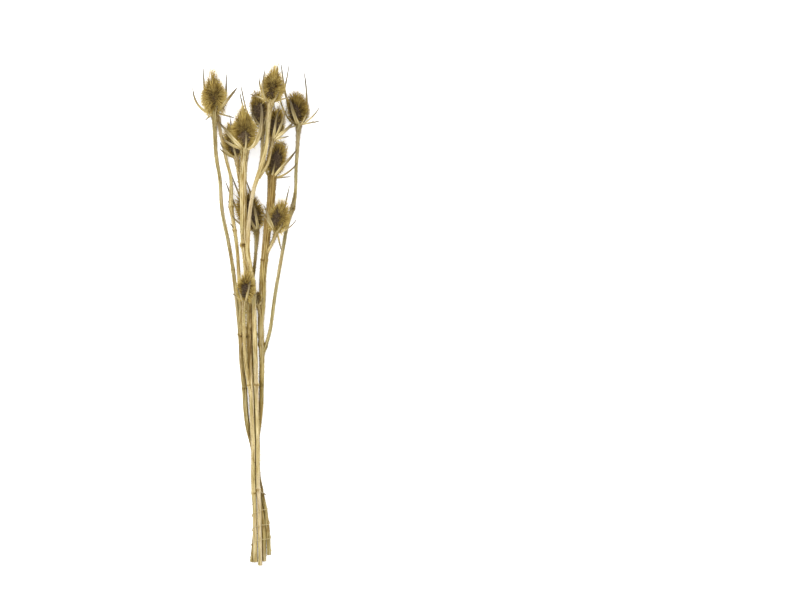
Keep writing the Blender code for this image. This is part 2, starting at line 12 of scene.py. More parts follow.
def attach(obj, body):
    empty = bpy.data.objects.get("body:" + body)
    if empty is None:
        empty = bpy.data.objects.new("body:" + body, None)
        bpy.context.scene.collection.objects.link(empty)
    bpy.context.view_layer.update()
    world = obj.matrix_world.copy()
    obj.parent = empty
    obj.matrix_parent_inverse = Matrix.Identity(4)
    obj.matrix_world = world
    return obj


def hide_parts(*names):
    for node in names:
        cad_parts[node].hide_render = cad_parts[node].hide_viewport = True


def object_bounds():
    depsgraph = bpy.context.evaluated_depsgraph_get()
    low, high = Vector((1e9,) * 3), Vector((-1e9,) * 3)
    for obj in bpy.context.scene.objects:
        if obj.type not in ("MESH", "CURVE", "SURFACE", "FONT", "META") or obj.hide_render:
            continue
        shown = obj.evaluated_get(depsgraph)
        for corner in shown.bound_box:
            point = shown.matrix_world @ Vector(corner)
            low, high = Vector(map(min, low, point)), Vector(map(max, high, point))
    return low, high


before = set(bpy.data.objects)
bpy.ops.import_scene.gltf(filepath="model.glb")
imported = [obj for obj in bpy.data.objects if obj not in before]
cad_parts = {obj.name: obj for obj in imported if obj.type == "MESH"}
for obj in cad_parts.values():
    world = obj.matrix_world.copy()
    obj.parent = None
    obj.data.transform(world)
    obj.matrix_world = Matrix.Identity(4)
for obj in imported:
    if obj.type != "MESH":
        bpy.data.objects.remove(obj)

cad_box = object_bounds()

MM = 0.001
# How far the part's own outline lies off the routes' origin.
SHIFT = np.array((-0.864, 0.158, 0.0))
# Nothing stands out of the part's own box, and no awn reaches past the farthest place along +Y.
INSIDE = [np.array(cad_box[0]) + 0.00005, np.array(cad_box[1]) - 0.00005]
FARTHEST = cad_box[1][1] / MM + SHIFT[1] - 0.2
GOLDEN_ANGLE = math.pi * (3 - math.sqrt(5))
SEED = 11

# Strands, which are stems and branches: the step along them, sides and ribs, and the grooves' depth and the tone of the
# painted shade in them.
STRAND_STEP = 2.5
STEM_SIDES, STEM_RIBS = 60, 10
BRANCH_SIDES, BRANCH_RIBS = 44, 8
GROOVE_DEPTH = 0.17
GROOVE_SHADE = 0.26
# A strand swells by a share of its radius, over a length, at each leaf stalk near it and at each scar.
STALK_NEAR = 8
STALK_SWELL, STALK_LENGTH = 0.16, 3.2
SCAR_SWELL, SCAR_LENGTH = 0.15, 2.0
SCAR_BAND, SCAR_DARKNESS = 1.15, 0.95
# Painted shade: what lies over a strand within this reach, another strand or its own body, darkens its colour, by so
# much for each look that meets it.
SHADE_REACH, OWN_SHADE, OTHER_SHADE = 14.0, 0.08, 0.28
LOOKS = (-60, -30, 0, 30, 60)
# Thorns crowd in the last stretch below a head, one to a cell of surface, are sparse lower down, and keep clear of
# the tie.
THORNY_STRETCH, THORN_CELL = 26, 1.35
SPARSE_RATE, SPARSE_STRETCH = 0.13, 460
TIE_MARGIN = 4

# Bracts: the keel's depth, how deep and how far out the root lies in shares of the swelling, and how they taper.
BRACT_KEEL = 1.0
BRACT_SINK = 0.8
BRACT_ROOT = 0.42
BRACT_TWIST = math.radians(50)
BRACT_STEPS = 30
LONG_BRACT, LONG_TAPER, SHORT_TAPER = 45, 0.42, 0.58
BRACT_THINNEST, BRACT_THICK = 0.3, 0.32
LOWEST_BRACT = 0.9
STUB_STEPS, STUB_SIDES = 12, 10

# Heads: the gap under the core, its share of the radius, each scale's surface, what is left of worn awns, and the
# shortest awn.
GAP = 0.35
CORE_SHARE = 0.64
CORE_RINGS, CORE_SIDES = 26, 36
CELL = 1.0
SCALE_WIDTH, SCALE_THICK = 0.62, 0.55
STUMP = (1.4, 2.3)
SHORTEST_AWN = 1.2
# An awn starts to look for what is in its way this far from its root, and goes this far into it.
AWN_CLEAR, AWN_TOUCH = 1.2, 0.8
SURFACE_GAP = 0.25
# How far the lowest awns droop at the front, in degrees, and from which length of its tuft a head is slender.
FRONT_DROOP, SLENDER = 24, 1.4

# The tie, and the plies that it is twisted from.
TIE_CLEAR = 0.45
TIE_RADIUS = 0.45
TIE_START = -272
TIE_END = -332
TIE_TURNS = 3
TIE_STEPS, TIE_SPACING = 48, 0.45
PLIES, PLY_SIDES = 3, 8
PLY_RADIUS, PLY_OFFSET, PLY_PITCH = 0.27, 0.24, 1.5

SPECULAR = 0.1
FLOOR_SIZE, FLOOR_DROP, FLOOR_GLOW = 12, 0.0005, 0.3
WORLD_LIGHT = 0.66

# The photo's frame: 1.4 mm for each pixel, with pixel (257, 314) at the routes' origin.
PIXEL = 1.4
PHOTO_SIZE = (800, 600)
PHOTO_ORIGIN = (257, 314)
CAMERA_HEIGHT = 3.0

# Each strand is a list of points from its foot up: x, y, z and radius. The first strand of a stem is the stem itself.
STEMS = {
    "stem_1": {"main": [
        (-7, -347, 3, 2.9), (-5.2, -330, 4.7, 2.9), (-2.8, -302, 5, 2.9), (-3.4, -274, 4.6, 2.8),
        (-4.8, -246, 3.4, 2.8), (-5.3, -218, 3.2, 2.8), (-5.8, -190, 3.7, 2.9), (-12, -162, 7, 3.2),
        (-15.8, -134, 9.5, 3.5), (-18, -99, 12, 3.4), (-22, -64, 14, 3.1), (-23.8, -29, 15, 2.7), (-28.7, 20, 16, 2.7),
        (-33.6, 62, 17, 2.6), (-40.6, 104, 18, 2.5), (-49, 146, 19, 2.5), (-51.8, 188, 19.5, 2.5),
        (-57.4, 223, 20, 2.6), (-59.1, 262, 20, 3), (-59.4, 277, 20, 4.2), (-59.3, 285.5, 20, 5.4),
    ], "shoot": [
        (-22.5, -62, 14, 2.2), (-22.7, -8, 17.5, 2.4), (-23.8, 20, 18.5, 2.4), (-26.6, 76, 19, 2.4),
        (-29.4, 104, 19, 2.4), (-33, 129, 18, 2.5), (-36.4, 153, 16, 3.2), (-36.4, 188, 13, 2.2), (-43.4, 218, 11, 2.2),
        (-49, 244, 9, 2.2), (-52.5, 262, 7.5, 2.6), (-54, 272, 6.5, 3.4), (-54.8, 280, 6, 1.2),
    ]},
    "stem_2": {"main": [
        (-1.8, -347, 8.6, 2.9), (-2.4, -330, 10.8, 2.9), (-2.9, -302, 12.4, 2.9), (-3.2, -274, 13.4, 2.9),
        (-4.9, -246, 14.4, 3), (-5.4, -218, 14.5, 3), (-5.4, -190, 14.6, 3), (-6.3, -162, 15.2, 3.1),
        (-7.2, -134, 16, 3.2), (-8.4, -99, 17.5, 3.4), (-10.5, -64, 19, 3.7), (-10.8, -29, 22, 4.1),
        (-10.6, 5, 25, 4.4), (-11.6, 40, 28, 4.5), (-15.4, 75, 33, 4.5), (-18.2, 104, 38, 4.6), (-19.2, 146, 48, 4.7),
        (-19.2, 188, 60, 4.8), (-18.4, 214, 71, 5), (-17.2, 228, 79, 6.2), (-16.6, 236, 83, 7.2),
    ], "head_03": [
        (-20, 158, 50, 2.8), (-24, 185, 51, 2.4), (-26.6, 205, 50, 2.6), (-28.7, 222, 50, 4.4),
    ], "head_11": [
        (-8.6, -116, 17, 2.2), (-12.4, -92, 20.5, 2.6), (-16.2, -64, 26, 2.5), (-18, -29, 33, 2.5),
        (-18.4, 3, 43.5, 2.8), (-17.2, 20, 50, 4.2),
    ]},
    "stem_3": {"main": [
        (4.4, -352, 9.6, 2.8), (4.2, -330, 12.4, 2.8), (3.5, -302, 13.4, 2.8), (3.2, -274, 14.2, 2.8),
        (1.9, -246, 14.8, 2.8), (1.3, -218, 14.6, 2.8), (1.3, -190, 14.8, 2.8), (0.8, -162, 15.4, 2.8),
        (0, -134, 17, 2.8), (-1, -99, 21, 2.9), (-2, -64, 25.5, 3), (-3, -29, 29.5, 3), (-4, 5, 33, 3),
        (-4.6, 40, 37, 3), (-9.6, 68, 43, 3), (-12.8, 86, 48, 3), (-12.6, 104, 52, 2.9), (-11.6, 125, 57, 2.8),
        (-10, 143, 61, 2.6), (-7.4, 160, 65, 2.6), (-3.4, 178, 69, 2.7), (2, 195, 73, 3.2), (7, 209, 76, 3),
        (13.3, 237, 82, 2.9), (14.9, 258, 86, 2.9), (16.8, 281, 89, 3.2), (19, 293, 90, 4.4), (20.2, 301, 91, 5.6),
    ], "head_05": [
        (3.6, 199, 74, 2.4), (7, 223, 67, 2.3), (7.7, 244, 60, 2.6), (7.4, 264, 54, 4.6),
    ], "head_07": [
        (2.4, 190, 72, 2.4), (9, 201, 73, 2.4), (14.6, 211, 71.5, 2.4), (19.4, 233, 69, 2.6), (22.6, 247, 67, 4.4),
    ]},
    "stem_4": {"main": [
        (9.8, -346, 5, 2.9), (9.9, -330, 6.6, 2.9), (9.1, -302, 7.6, 2.9), (5.6, -274, 8.4, 2.9), (0.4, -246, 8.8, 2.9),
        (-2, -218, 8.8, 2.9), (-1.8, -190, 8.9, 2.9), (2.2, -162, 9.2, 2.9), (5.4, -134, 9.4, 3), (6.3, -99, 10, 3.3),
        (6.7, -64, 12, 3.6), (5.8, -36, 14.5, 3.9), (5.6, -8, 17.5, 4.2), (7.2, 13, 20, 4.5), (8.4, 55, 25, 4.8),
        (12, 93, 31, 5.1), (15.4, 125, 34, 5.4), (19.6, 160, 38, 5.4), (20.9, 186, 41, 5.6), (21.6, 196, 42.5, 7),
    ], "head_06": [
        (8.4, -56, 12.5, 2.4), (12.6, -43, 12.5, 2.4), (16.8, -29, 12, 2.5), (20.3, -11, 12, 2.4), (25.2, 27, 11, 2.4),
        (30.8, 59, 10.5, 2.4), (36.4, 92, 10, 2.4), (40.6, 115, 10, 2.3), (44.8, 132, 10, 2.4), (49.7, 148, 10.5, 3.2),
        (53.9, 174, 11, 2.2), (54.6, 202, 12, 2.2), (56.4, 230, 13.5, 2.3), (57.4, 249, 15, 2.6),
        (58.4, 261, 15.8, 3.6), (58.8, 269, 16.4, 5),
    ], "head_10": [
        (12, 82, 29, 2.2), (16.4, 90, 34, 2.1), (21.4, 100, 39, 2.1), (25.6, 111, 44, 2.6), (27.3, 117, 46.5, 4),
    ], "head_12": [
        (5.2, -4, 17.5, 1.8), (3.4, 4, 23.5, 1.8), (0.9, 13, 27, 2.8),
    ]},
    "stem_5": {"main": [
        (16.8, -337, 3, 2.9), (16.2, -324, 4.7, 2.9), (14.9, -302, 5, 2.9), (11.6, -274, 4.6, 2.9),
        (5.6, -246, 3.2, 2.9), (1.2, -218, 3, 2.9), (1.2, -190, 3.1, 2.9), (-0.8, -162, 3.4, 2.9),
        (-2.6, -134, 3.8, 2.9), (-3.6, -99, 4.6, 2.9), (-4.6, -64, 6, 2.9), (-6, -29, 8, 2.9), (-7.8, 5, 9.5, 2.8),
        (-8, 30, 10.5, 2.4), (-4, 62, 14, 2.1), (-1.4, 90, 17, 2.1), (-0.4, 108, 19.5, 3), (-2, 121, 22, 4.8),
    ]},
}

# Leaf-stalk stubs: the stem they grow from, their foot, their tip and their radius at the foot.
STUBS = {
    "stem_1": [
        ((-34, 150, 16.5), (-41, 158, 18), 1.6), ((-31, 118, 19), (-37.5, 127, 21.5), 1.6),
        ((-24, -30, 15.5), (-21, -26, 20), 1.5),
    ],
    "stem_2": [
        ((-10.6, -32, 22), (-7.5, -30, 28), 1.6), ((-8.6, -99, 18), (-13.5, -97, 19), 1.6),
        ((-17.5, 96, 37), (-22.6, 118, 43), 2),
    ],
    "stem_3": [((2.2, -247, 14.8), (13.2, -253.5, 13.4), 1.8), ((-1, -100, 21), (-3.4, -97.5, 25.8), 1.4)],
    "stem_4": [((5.8, -44, 14), (-0.6, -24, 17.5), 2), ((49, 148, 10.5), (53.5, 151, 13.5), 1.5)],
    "stem_5": [],
}

# Each head: its length and its radius over the bristles, how far it leans to the right of +Y and up from the
# surface in degrees, and its bracts. A bract has its angle round the head, from 0 at the right over 90 on top to
# 180 at the left, how far out and how far up its tip is, its width, and its bow: above 1 it goes out first.
HEADS = {
    "head_01": (46, 19.5, -3, 2, [
        (180, 27, 37, 3.6, 2.2), (34, 38, 31, 6.4, 1.1), (20, 27, -12, 3.6, 1), (150, 15, -14, 2.8, 1),
        (236, 21, 60, 2.8, 2.6), (272, 20, 52, 2.8, 2.6), (316, 24, 50, 2.8, 2.2), (75, 15, 7, 2.6, 1.3),
    ]),
    "head_02": (49, 19.5, -4, 8, [
        (138, 44, 42, 5.6, 1.1), (160, 31, 18, 3.8, 1.4), (45, 34, 62, 5.8, 2.2), (84, 19, 24, 3, 1.5),
        (-20, 24, 8, 2.8, 1), (300, 23, 46, 3.2, 2), (262, 22, 48, 3.2, 2), (222, 22, 42, 3.2, 2),
    ]),
    "head_03": (44, 15.5, -12, -6, [
        (148, 20, 22, 3.2, 1.5), (196, 20, 16, 3.2, 1.4), (100, 14, 20, 2.8, 1.4), (300, 18, 32, 3, 1.8),
        (244, 18, 30, 3, 1.8), (20, 13, 12, 2.8, 1.2),
    ]),
    "head_04": (42, 18, 6, 8, [
        (166, 30, 5, 3.4, 1), (12, 30, 8, 3.4, 0.9), (130, 20, 42, 3, 2.4), (62, 17, 14, 3, 1.5),
        (-30, 20, 50, 2.6, 2.2), (282, 19, 50, 2.6, 2.2), (234, 20, 44, 2.8, 2), (200, 20, 34, 2.8, 1.8),
    ]),
    "head_05": (47, 14.5, -10, -6, [
        (186, 18, 66, 2.6, 2.6), (208, 24, 54, 2.6, 2.2), (280, 18, 50, 2.8, 2), (60, 15, 18, 2.8, 1.4),
        (10, 20, 26, 3, 1.5), (130, 15, 22, 2.8, 1.4),
    ]),
    "head_06": (41, 17, -8, 0, [
        (230, 19, 84, 3.2, 2.6), (-40, 20, 69, 2.8, 2.4), (206, 24, 74, 2.6, 2.4), (112, 20, 36, 5, 1.6),
        (-8, 28, -3, 3.2, 1), (6, 29, 18, 2.8, 1.5), (172, 15, -7, 4.6, 1), (44, 18, 14, 3, 1.3),
    ]),
    "head_07": (42, 13.5, 12, -6, [
        (92, 14, 40, 4, 1.8), (60, 18, 44, 3.6, 1.6), (36, 27, 26, 6.2, 1.2), (14, 20, 6, 3.6, 1),
        (-14, 19, -5, 3.2, 1), (160, 15, 20, 3, 1.6), (290, 16, 38, 3, 2), (236, 16, 34, 3, 2),
    ]),
    "head_08": (47, 14.5, 15, 3, [
        (8, 26, 24, 4.6, 1.5), (-14, 24, 3, 3, 1), (46, 31, 43, 5, 1.1), (92, 13, 20, 3, 1.2),
        (158, 15, 24, 3.4, 1.4), (300, 19, 44, 3, 2), (250, 18, 40, 3, 2), (206, 18, 32, 3, 1.8),
    ]),
    "head_09": (51, 18, -20, 6, [
        (254, 21, 82, 2.8, 2.5), (296, 21, 78, 2.8, 2.5), (226, 23, 76, 2.8, 2.5), (66, 20, 44, 4, 1.6),
        (100, 15, 30, 3.4, 1.6), (166, 24, 30, 3.2, 1.5), (12, 22, 22, 3.2, 1.6),
    ]),
    "head_10": (41, 15.5, 12, 5, [
        (135, 34, 34, 4.4, 1.05), (158, 26, 25, 3.4, 1.1), (286, 16, 64, 2.6, 2.4), (-42, 18, 56, 2.6, 2),
        (2, 22, 22, 3, 1.5), (-24, 12, -27, 2.6, 1), (66, 15, 14, 2.8, 1.3),
    ]),
    "head_11": (36, 14, 5, 6, [
        (72, 17, 30, 3.6, 1.4), (172, 17, 8, 3.4, 1), (8, 15, 13, 3, 1.3), (320, 15, 28, 2.8, 1.8),
        (240, 14, 26, 2.8, 1.8), (132, 15, 18, 3, 1.3),
    ]),
    "head_12": (19, 5.6, 4, 8, [(35, 7, 11, 2.4, 1.2), (90, 6, 10, 2.2, 1.3), (150, 4, 4.4, 2.2, 1.3)]),
}
# Brown leaf scars ringing each stem, by their place along +Y.
RINGS = {
    "stem_1": (-105, 62), "stem_2": (-250, -20, 98), "stem_3": (-247, -99, 60), "stem_4": (-238, -40, 75),
    "stem_5": (-245, -90),
}
# Strands that are olive and weathered, or browner, rather than straw yellow.
OLIVE = {("stem_1", "main"), ("stem_4", "head_06"), ("stem_5", "main")}
BROWN = {("stem_4", "main")}
# Each head's awns: how far the lowest droop at the sides in degrees, how much longer than usual the longest of its
# tuft and all of them are, how pale their tips and how grey the worn scales are. Then where awns are worn down to
# their scales: the angle round the head and how far to each side, the lowest and highest share of its length, and
# how much of the awns is left.
AWNS = {
    "head_01": (76, 2.1, 1, 1, 0.4, (95, 38, 0.22, 0.52, 0.5)),
    "head_02": (44, 1.5, 1, 0.9, 1, (92, 50, 0.04, 0.5, 0)),
    "head_03": (24, 1.35, 1, 0.7, 0.4, (80, 70, 0, 0.5, 0)),
    "head_04": (52, 1.9, 1, 1, 0.2, (104, 40, 0.02, 0.36, 0)),
    "head_05": (24, 1.35, 1, 0.62, 0.5, (105, 95, 0, 0.76, 0)),
    "head_06": (14, 0.95, 1, 0.62, 0.4, (135, 68, 0, 0.82, 0)),
    "head_07": (24, 1.35, 1, 0.66, 0.4, (90, 80, 0.05, 0.8, 0)),
    "head_08": (24, 1, 1, 0.72, 0.45, (98, 66, 0, 0.86, 0)),
    "head_09": (24, 1.35, 1.18, 0.52, 0.4, (72, 62, 0, 0.9, 0)),
    "head_10": (52, 1.35, 1, 0.95, 0.3, (134, 52, 0.1, 0.85, 0)),
    "head_11": (56, 1.35, 1, 0.95, 0.25, (95, 42, 0.1, 0.75, 0)),
    "head_12": (24, 1, 1, 0.8, 0.4, None),
}
# The heads at the ends of the stems, in their order. Each other head ends the branch of its name.
MAIN_HEADS = dict(zip(("head_01", "head_02", "head_04", "head_08", "head_09"), STEMS))

rng = np.random.default_rng(SEED)
scene = bpy.context.scene


# Meshes

def unit(v):
    return v / np.maximum(np.linalg.norm(v, axis=-1, keepdims=True), 1e-9)


class Piece:
    """Vertices in millimetres, their tone and the place that the grain is read at, and faces with their material."""

    def __init__(self):
        self.verts, self.tones, self.grains = [], [], []
        self.faces = {4: [], 3: []}
        self.mats = {4: [], 3: []}
        self.count = 0

    def add(self, verts, tone, grain, faces, mat):
        self.verts.append(np.asarray(verts, float).reshape(-1, 3))
        n = len(self.verts[-1])
        self.tones.append(np.broadcast_to(np.asarray(tone, float).reshape(-1), (n,)))
        self.grains.append(np.broadcast_to(np.asarray(grain, float).reshape(-1, 3), (n, 3)))
        for face in faces:
            face = np.asarray(face, int)
            if len(face):
                self.faces[face.shape[1]].append(face + self.count)
                self.mats[face.shape[1]].append(np.full(len(face), mat))
        self.count += n

    def tree(self):
        """The shape so far, for finding what stands in a bristle's way."""
        faces = [f for k in (4, 3) for a in self.faces[k] for f in a.tolist()]
        return BVHTree.FromPolygons(np.concatenate(self.verts).tolist(), faces)

    def build(self, name, materials):
        co = np.concatenate(self.verts)
        co = np.clip((co - SHIFT) * MM, *INSIDE)
        faces = [np.concatenate(self.faces[k]) if self.faces[k] else np.zeros((0, k), int) for k in (4, 3)]
        mats = np.concatenate([m for k in (4, 3) for m in self.mats[k]])
        corners = np.concatenate([f.ravel() for f in faces])
        starts = np.concatenate([np.arange(len(faces[0])) * 4, len(faces[0]) * 4 + np.arange(len(faces[1])) * 3])
        mesh = bpy.data.meshes.new(name)
        mesh.vertices.add(len(co))
        mesh.vertices.foreach_set("co", co.astype(np.float32).ravel())
        mesh.loops.add(len(corners))
        mesh.loops.foreach_set("vertex_index", corners.astype(np.int32))
        mesh.polygons.add(len(starts))
        mesh.polygons.foreach_set("loop_start", starts.astype(np.int32))
        mesh.polygons.foreach_set("material_index", mats.astype(np.int32))
        tone = mesh.attributes.new("tone", "FLOAT", "POINT")
        tone.data.foreach_set("value", np.concatenate(self.tones).astype(np.float32))
        grain = mesh.attributes.new("grain", "FLOAT_VECTOR", "POINT")
        grain.data.foreach_set("vector", np.concatenate(self.grains).astype(np.float32).ravel())
        mesh.update(calc_edges=True)
        mesh.validate()
        mesh.shade_smooth()
        mesh.set_sharp_from_angle(angle=math.radians(50))
        for mat in materials:
            mesh.materials.append(mat)
        obj = bpy.data.objects.new(name, mesh)
        scene.collection.objects.link(obj)
        return obj


def smooth(route, step):
    """Points read from a smooth curve through a route's own points, about a step apart."""
    points = [np.array(point, float) for point in route]
    ends = [2 * points[0] - points[1], *points, 2 * points[-1] - points[-2]]
    curve = []
    for before, a, b, after in zip(ends, points, points[1:], ends[3:]):
        pieces = max(1, round(np.linalg.norm((b - a)[:3]) / step))
        for t in (k / pieces for k in range(pieces)):
            square = (2 * before - 5 * a + 4 * b - after) * t**2
            cube = (3 * a - 3 * b + after - before) * t**3
            curve.append(a + ((b - before) * t + square + cube) / 2)
    return np.array([*curve, points[-1]])


def frames(line):
    """The directions along and across a line, turned as little as possible from point to point."""
    along = unit(np.gradient(line, axis=0))
    start = np.cross(along[0], (0, 0, 1) if abs(along[0][2]) < 0.9 else (1, 0, 0))
    sides = [unit(start)]
    for way in along[1:]:
        sides.append(unit(sides[-1] - way * (sides[-1] @ way)))
    side = np.array(sides)
    return along, side, np.cross(along, side)


def run_of(line):
    """How far along the line each point is."""
    return np.concatenate([[0], np.cumsum(np.linalg.norm(np.diff(line, axis=0), axis=1))])


def angles(sides):
    return np.arange(sides) * 2 * math.pi / sides


def round_line(side, other, theta):
    """The directions at angles round each point of a line."""
    return np.cos(theta)[None, :, None] * side[:, None] + np.sin(theta)[None, :, None] * other[:, None]


def reader(at, run):
    """A function that reads three columns of values at places along a line."""
    return lambda values: np.stack([np.interp(at, run, values[:, k]) for k in range(3)], 1)


def fan(sides):
    """Faces from a ring to the point that follows it."""
    return np.array([(k, (k + 1) % sides, sides) for k in range(sides)])


def grid_faces(rings, sides):
    """Four-sided faces between rings of points."""
    i = np.arange(rings - 1)[:, None] * sides
    j = np.arange(sides)[None, :]
    after = (j + 1) % sides
    return np.stack([i + j, i + after, i + sides + after, i + sides + j], -1).reshape(-1, 4)


def needles(piece, roots, ways, bends, lengths, widths, thicks, profile, mat, tones, side=None, vary=None):
    """Many keeled, three-cornered needles, each curved by its bend. The profile lists, from root to tip, a share of
    the length, of the width and of the thickness, and tones are those at the root and at the tip."""
    count = len(roots)
    if not count:
        return
    ways = unit(ways)
    across = np.cross(ways, (0, 0, 1.0)) if side is None else side - ways * (side * ways).sum(1, keepdims=True)
    steep = np.linalg.norm(across, axis=1, keepdims=True) < 0.05
    across = np.where(steep, np.cross(ways, (1.0, 0, 0)), across)
    across = unit(across)
    above = np.cross(across, ways)
    verts, tone = [], []
    for t, width, thick in profile:
        middle = roots + ways * (lengths * t)[:, None] + bends * (lengths * t * t)[:, None]
        half = (widths * width)[:, None]
        verts += [middle + across * half, middle - across * half, middle + above * (thicks * thick)[:, None]]
        tone += [t] * 3
    tip = roots + ways * lengths[:, None] + bends * lengths[:, None]
    verts.append(tip)
    tone.append(1.0)
    each = len(verts)
    verts = np.stack(verts, 1)
    base = (np.arange(count) * each)[:, None, None]
    quads = base + grid_faces(len(profile), 3)[None]
    last = 3 * (len(profile) - 1)
    end = each - 1
    tris = base + np.array([(last, last + 1, end), (last + 1, last + 2, end), (last + 2, last, end)])[None]
    low, high = tones
    tone = (low + (np.broadcast_to(high, (count,)) - low)[:, None] * np.array(tone)[None]).ravel()
    vary = rng.uniform(0, 60, (count, 3)) if vary is None else vary
    grain = np.repeat(vary, each, axis=0)
    piece.add(verts, tone, grain, [quads.reshape(-1, 4), tris.reshape(-1, 3)], mat)


# Needles' profiles: shares of the length, the width and the thickness.
PRICKLE = [(0.0, 1.0, 1.0), (0.45, 0.5, 0.5)]
THORN = [(0.0, 1.0, 1.0)]
AWN = [(0.0, 1.0, 0.5), (0.13, 1.15, 1.0), (0.28, 0.42, 0.75), (0.62, 0.26, 0.5)]

# A cut foot's rim of wood round sunken pith, and the low dome that closes a top: shares of the ring, and how far along.
FOOT = ((1.0, 0.0), (0.74, -0.25), (0.66, 0.5), (0.3, 0.9), (0.02, 1.1))
FOOT_TONES = (0.9, 0.8, 0.35, 0.2, 0.1)
TOP = ((1.0, 0.0), (0.8, 0.2), (0.45, 0.3), (0.02, 0.34))

# The places of the materials on a stem's piece and on a head's.
STRAW_MAT, BRACT_MAT, PRICKLE_MAT, PITH_MAT, OLIVE_MAT, BROWN_MAT = range(6)
CORE_MAT, BRISTLE_MAT, SCALE_MAT = range(3)


# Stems

def strand(piece, route, sides, ribs, stubs, scars, at_foot, mat):
    """One ribbed strand, thicker at its leaf scars, with a cut or a buried foot."""
    points = smooth(route, STRAND_STEP)
    line, radius = points[:, :3], points[:, 3].copy()
    run = run_of(line)
    for foot, _, _ in stubs:
        gaps = np.linalg.norm(line - np.array(foot), axis=1)
        if gaps.min() < STALK_NEAR:
            radius *= 1 + STALK_SWELL * np.exp(-((run - run[gaps.argmin()]) / STALK_LENGTH) ** 2)
            scars = (*scars, line[gaps.argmin(), 1])
    theta = angles(sides)
    scarred = np.zeros((len(run), sides))
    for y in scars:
        if line[0, 1] < y < line[-1, 1]:
            away = run - np.interp(y, line[:, 1], run)
            radius *= 1 + SCAR_SWELL * np.exp(-(away / SCAR_LENGTH) ** 2)
            tilt = 0.9 * np.sin(theta + rng.uniform(0, 6))
            patchy = 0.7 + 0.3 * np.sin(2 * theta + rng.uniform(0, 6))
            scarred = np.maximum(scarred, patchy * np.exp(-((away[:, None] + tilt) / SCAR_BAND) ** 2))
    along, side, other = frames(line)
    wander = 0.5 * np.sin(run / 70 + rng.uniform(0, 6))[:, None]
    ridge = 0.5 + 0.5 * np.cos(ribs * theta[None, :] + wander)
    ridge = ridge ** 0.6
    depth = GROOVE_DEPTH + 0.04 * np.sin(run / 23 + rng.uniform(0, 6))[:, None]
    lumps = 0.03 * np.sin(3 * theta[None, :] + run[:, None] / 11) + 0.025 * np.sin(run / 5.0 + 1)[:, None]
    size = radius[:, None] * (1.03 - depth * (1 - ridge) + lumps)
    rings = line[:, None] + round_line(side, other, theta) * size[..., None]
    offset = rng.uniform(0, 300, 3)
    mean = radius.mean()
    grain = np.stack(np.broadcast_arrays(
        np.cos(theta)[None] * mean, np.sin(theta)[None] * mean, run[:, None]), -1) + offset
    # Painted shade darkens the grooves between the ribs; the brown leaf scars darken the tone too, as the stem's own
    # colour.
    tone = (GROOVE_SHADE + (1 - GROOVE_SHADE) * ridge) * (1 - SCAR_DARKNESS * scarred)
    piece.add(rings, tone, grain, [grid_faces(len(line), sides)], mat)
    body = (piece, len(piece.tones) - 1, rings)
    rim = np.array([line[0] + along[0] * sink + (rings[0] - line[0]) * share for share, sink in FOOT])
    faces = grid_faces(len(FOOT), sides)[:, ::-1]
    tone = np.repeat(np.array(FOOT_TONES), sides)
    piece.add(rim, tone, rim.reshape(-1, 3) + offset, [faces], PITH_MAT if at_foot else STRAW_MAT)
    dome = np.array([line[-1] + along[-1] * rise + (rings[-1] - line[-1]) * share for share, rise in TOP])
    piece.add(dome, 0.4, dome.reshape(-1, 3) + offset, [grid_faces(len(TOP), sides)], STRAW_MAT)
    return (line, radius, run, along, side, other), body


def paint_crevice_shade(bodies):
    """Painted shade: darker colour where other strands lie over a strand or close beside it, and on its own sides and
    underside.
    """
    faces, owners, verts = [], [], []
    count = 0
    for owner, (_, _, rings) in enumerate(bodies):
        own = grid_faces(*rings.shape[:2]) + count
        faces += own.tolist()
        owners += [owner] * len(own)
        verts.append(rings.reshape(-1, 3))
        count += len(verts[-1])
    tree = BVHTree.FromPolygons(np.concatenate(verts).tolist(), faces)
    looks = [Vector((math.sin(a), 0, math.cos(a))) for a in np.radians(LOOKS)]
    for owner, (piece, index, rings) in enumerate(bodies):
        out = unit(rings - rings.mean(axis=1, keepdims=True))
        starts = (rings + out * 0.3).reshape(-1, 3)
        light = np.ones(len(starts))
        for i, begin in enumerate(starts.tolist()):
            begin = Vector(begin)
            for look in looks:
                hit = tree.ray_cast(begin, look, SHADE_REACH)
                if hit[0] is not None:
                    light[i] -= OWN_SHADE if owners[hit[2]] == owner else OTHER_SHADE
        # The blocked looks darken the tone, and so the colour: painted shade.
        piece.tones[index] = piece.tones[index] * np.maximum(light, 0.02)


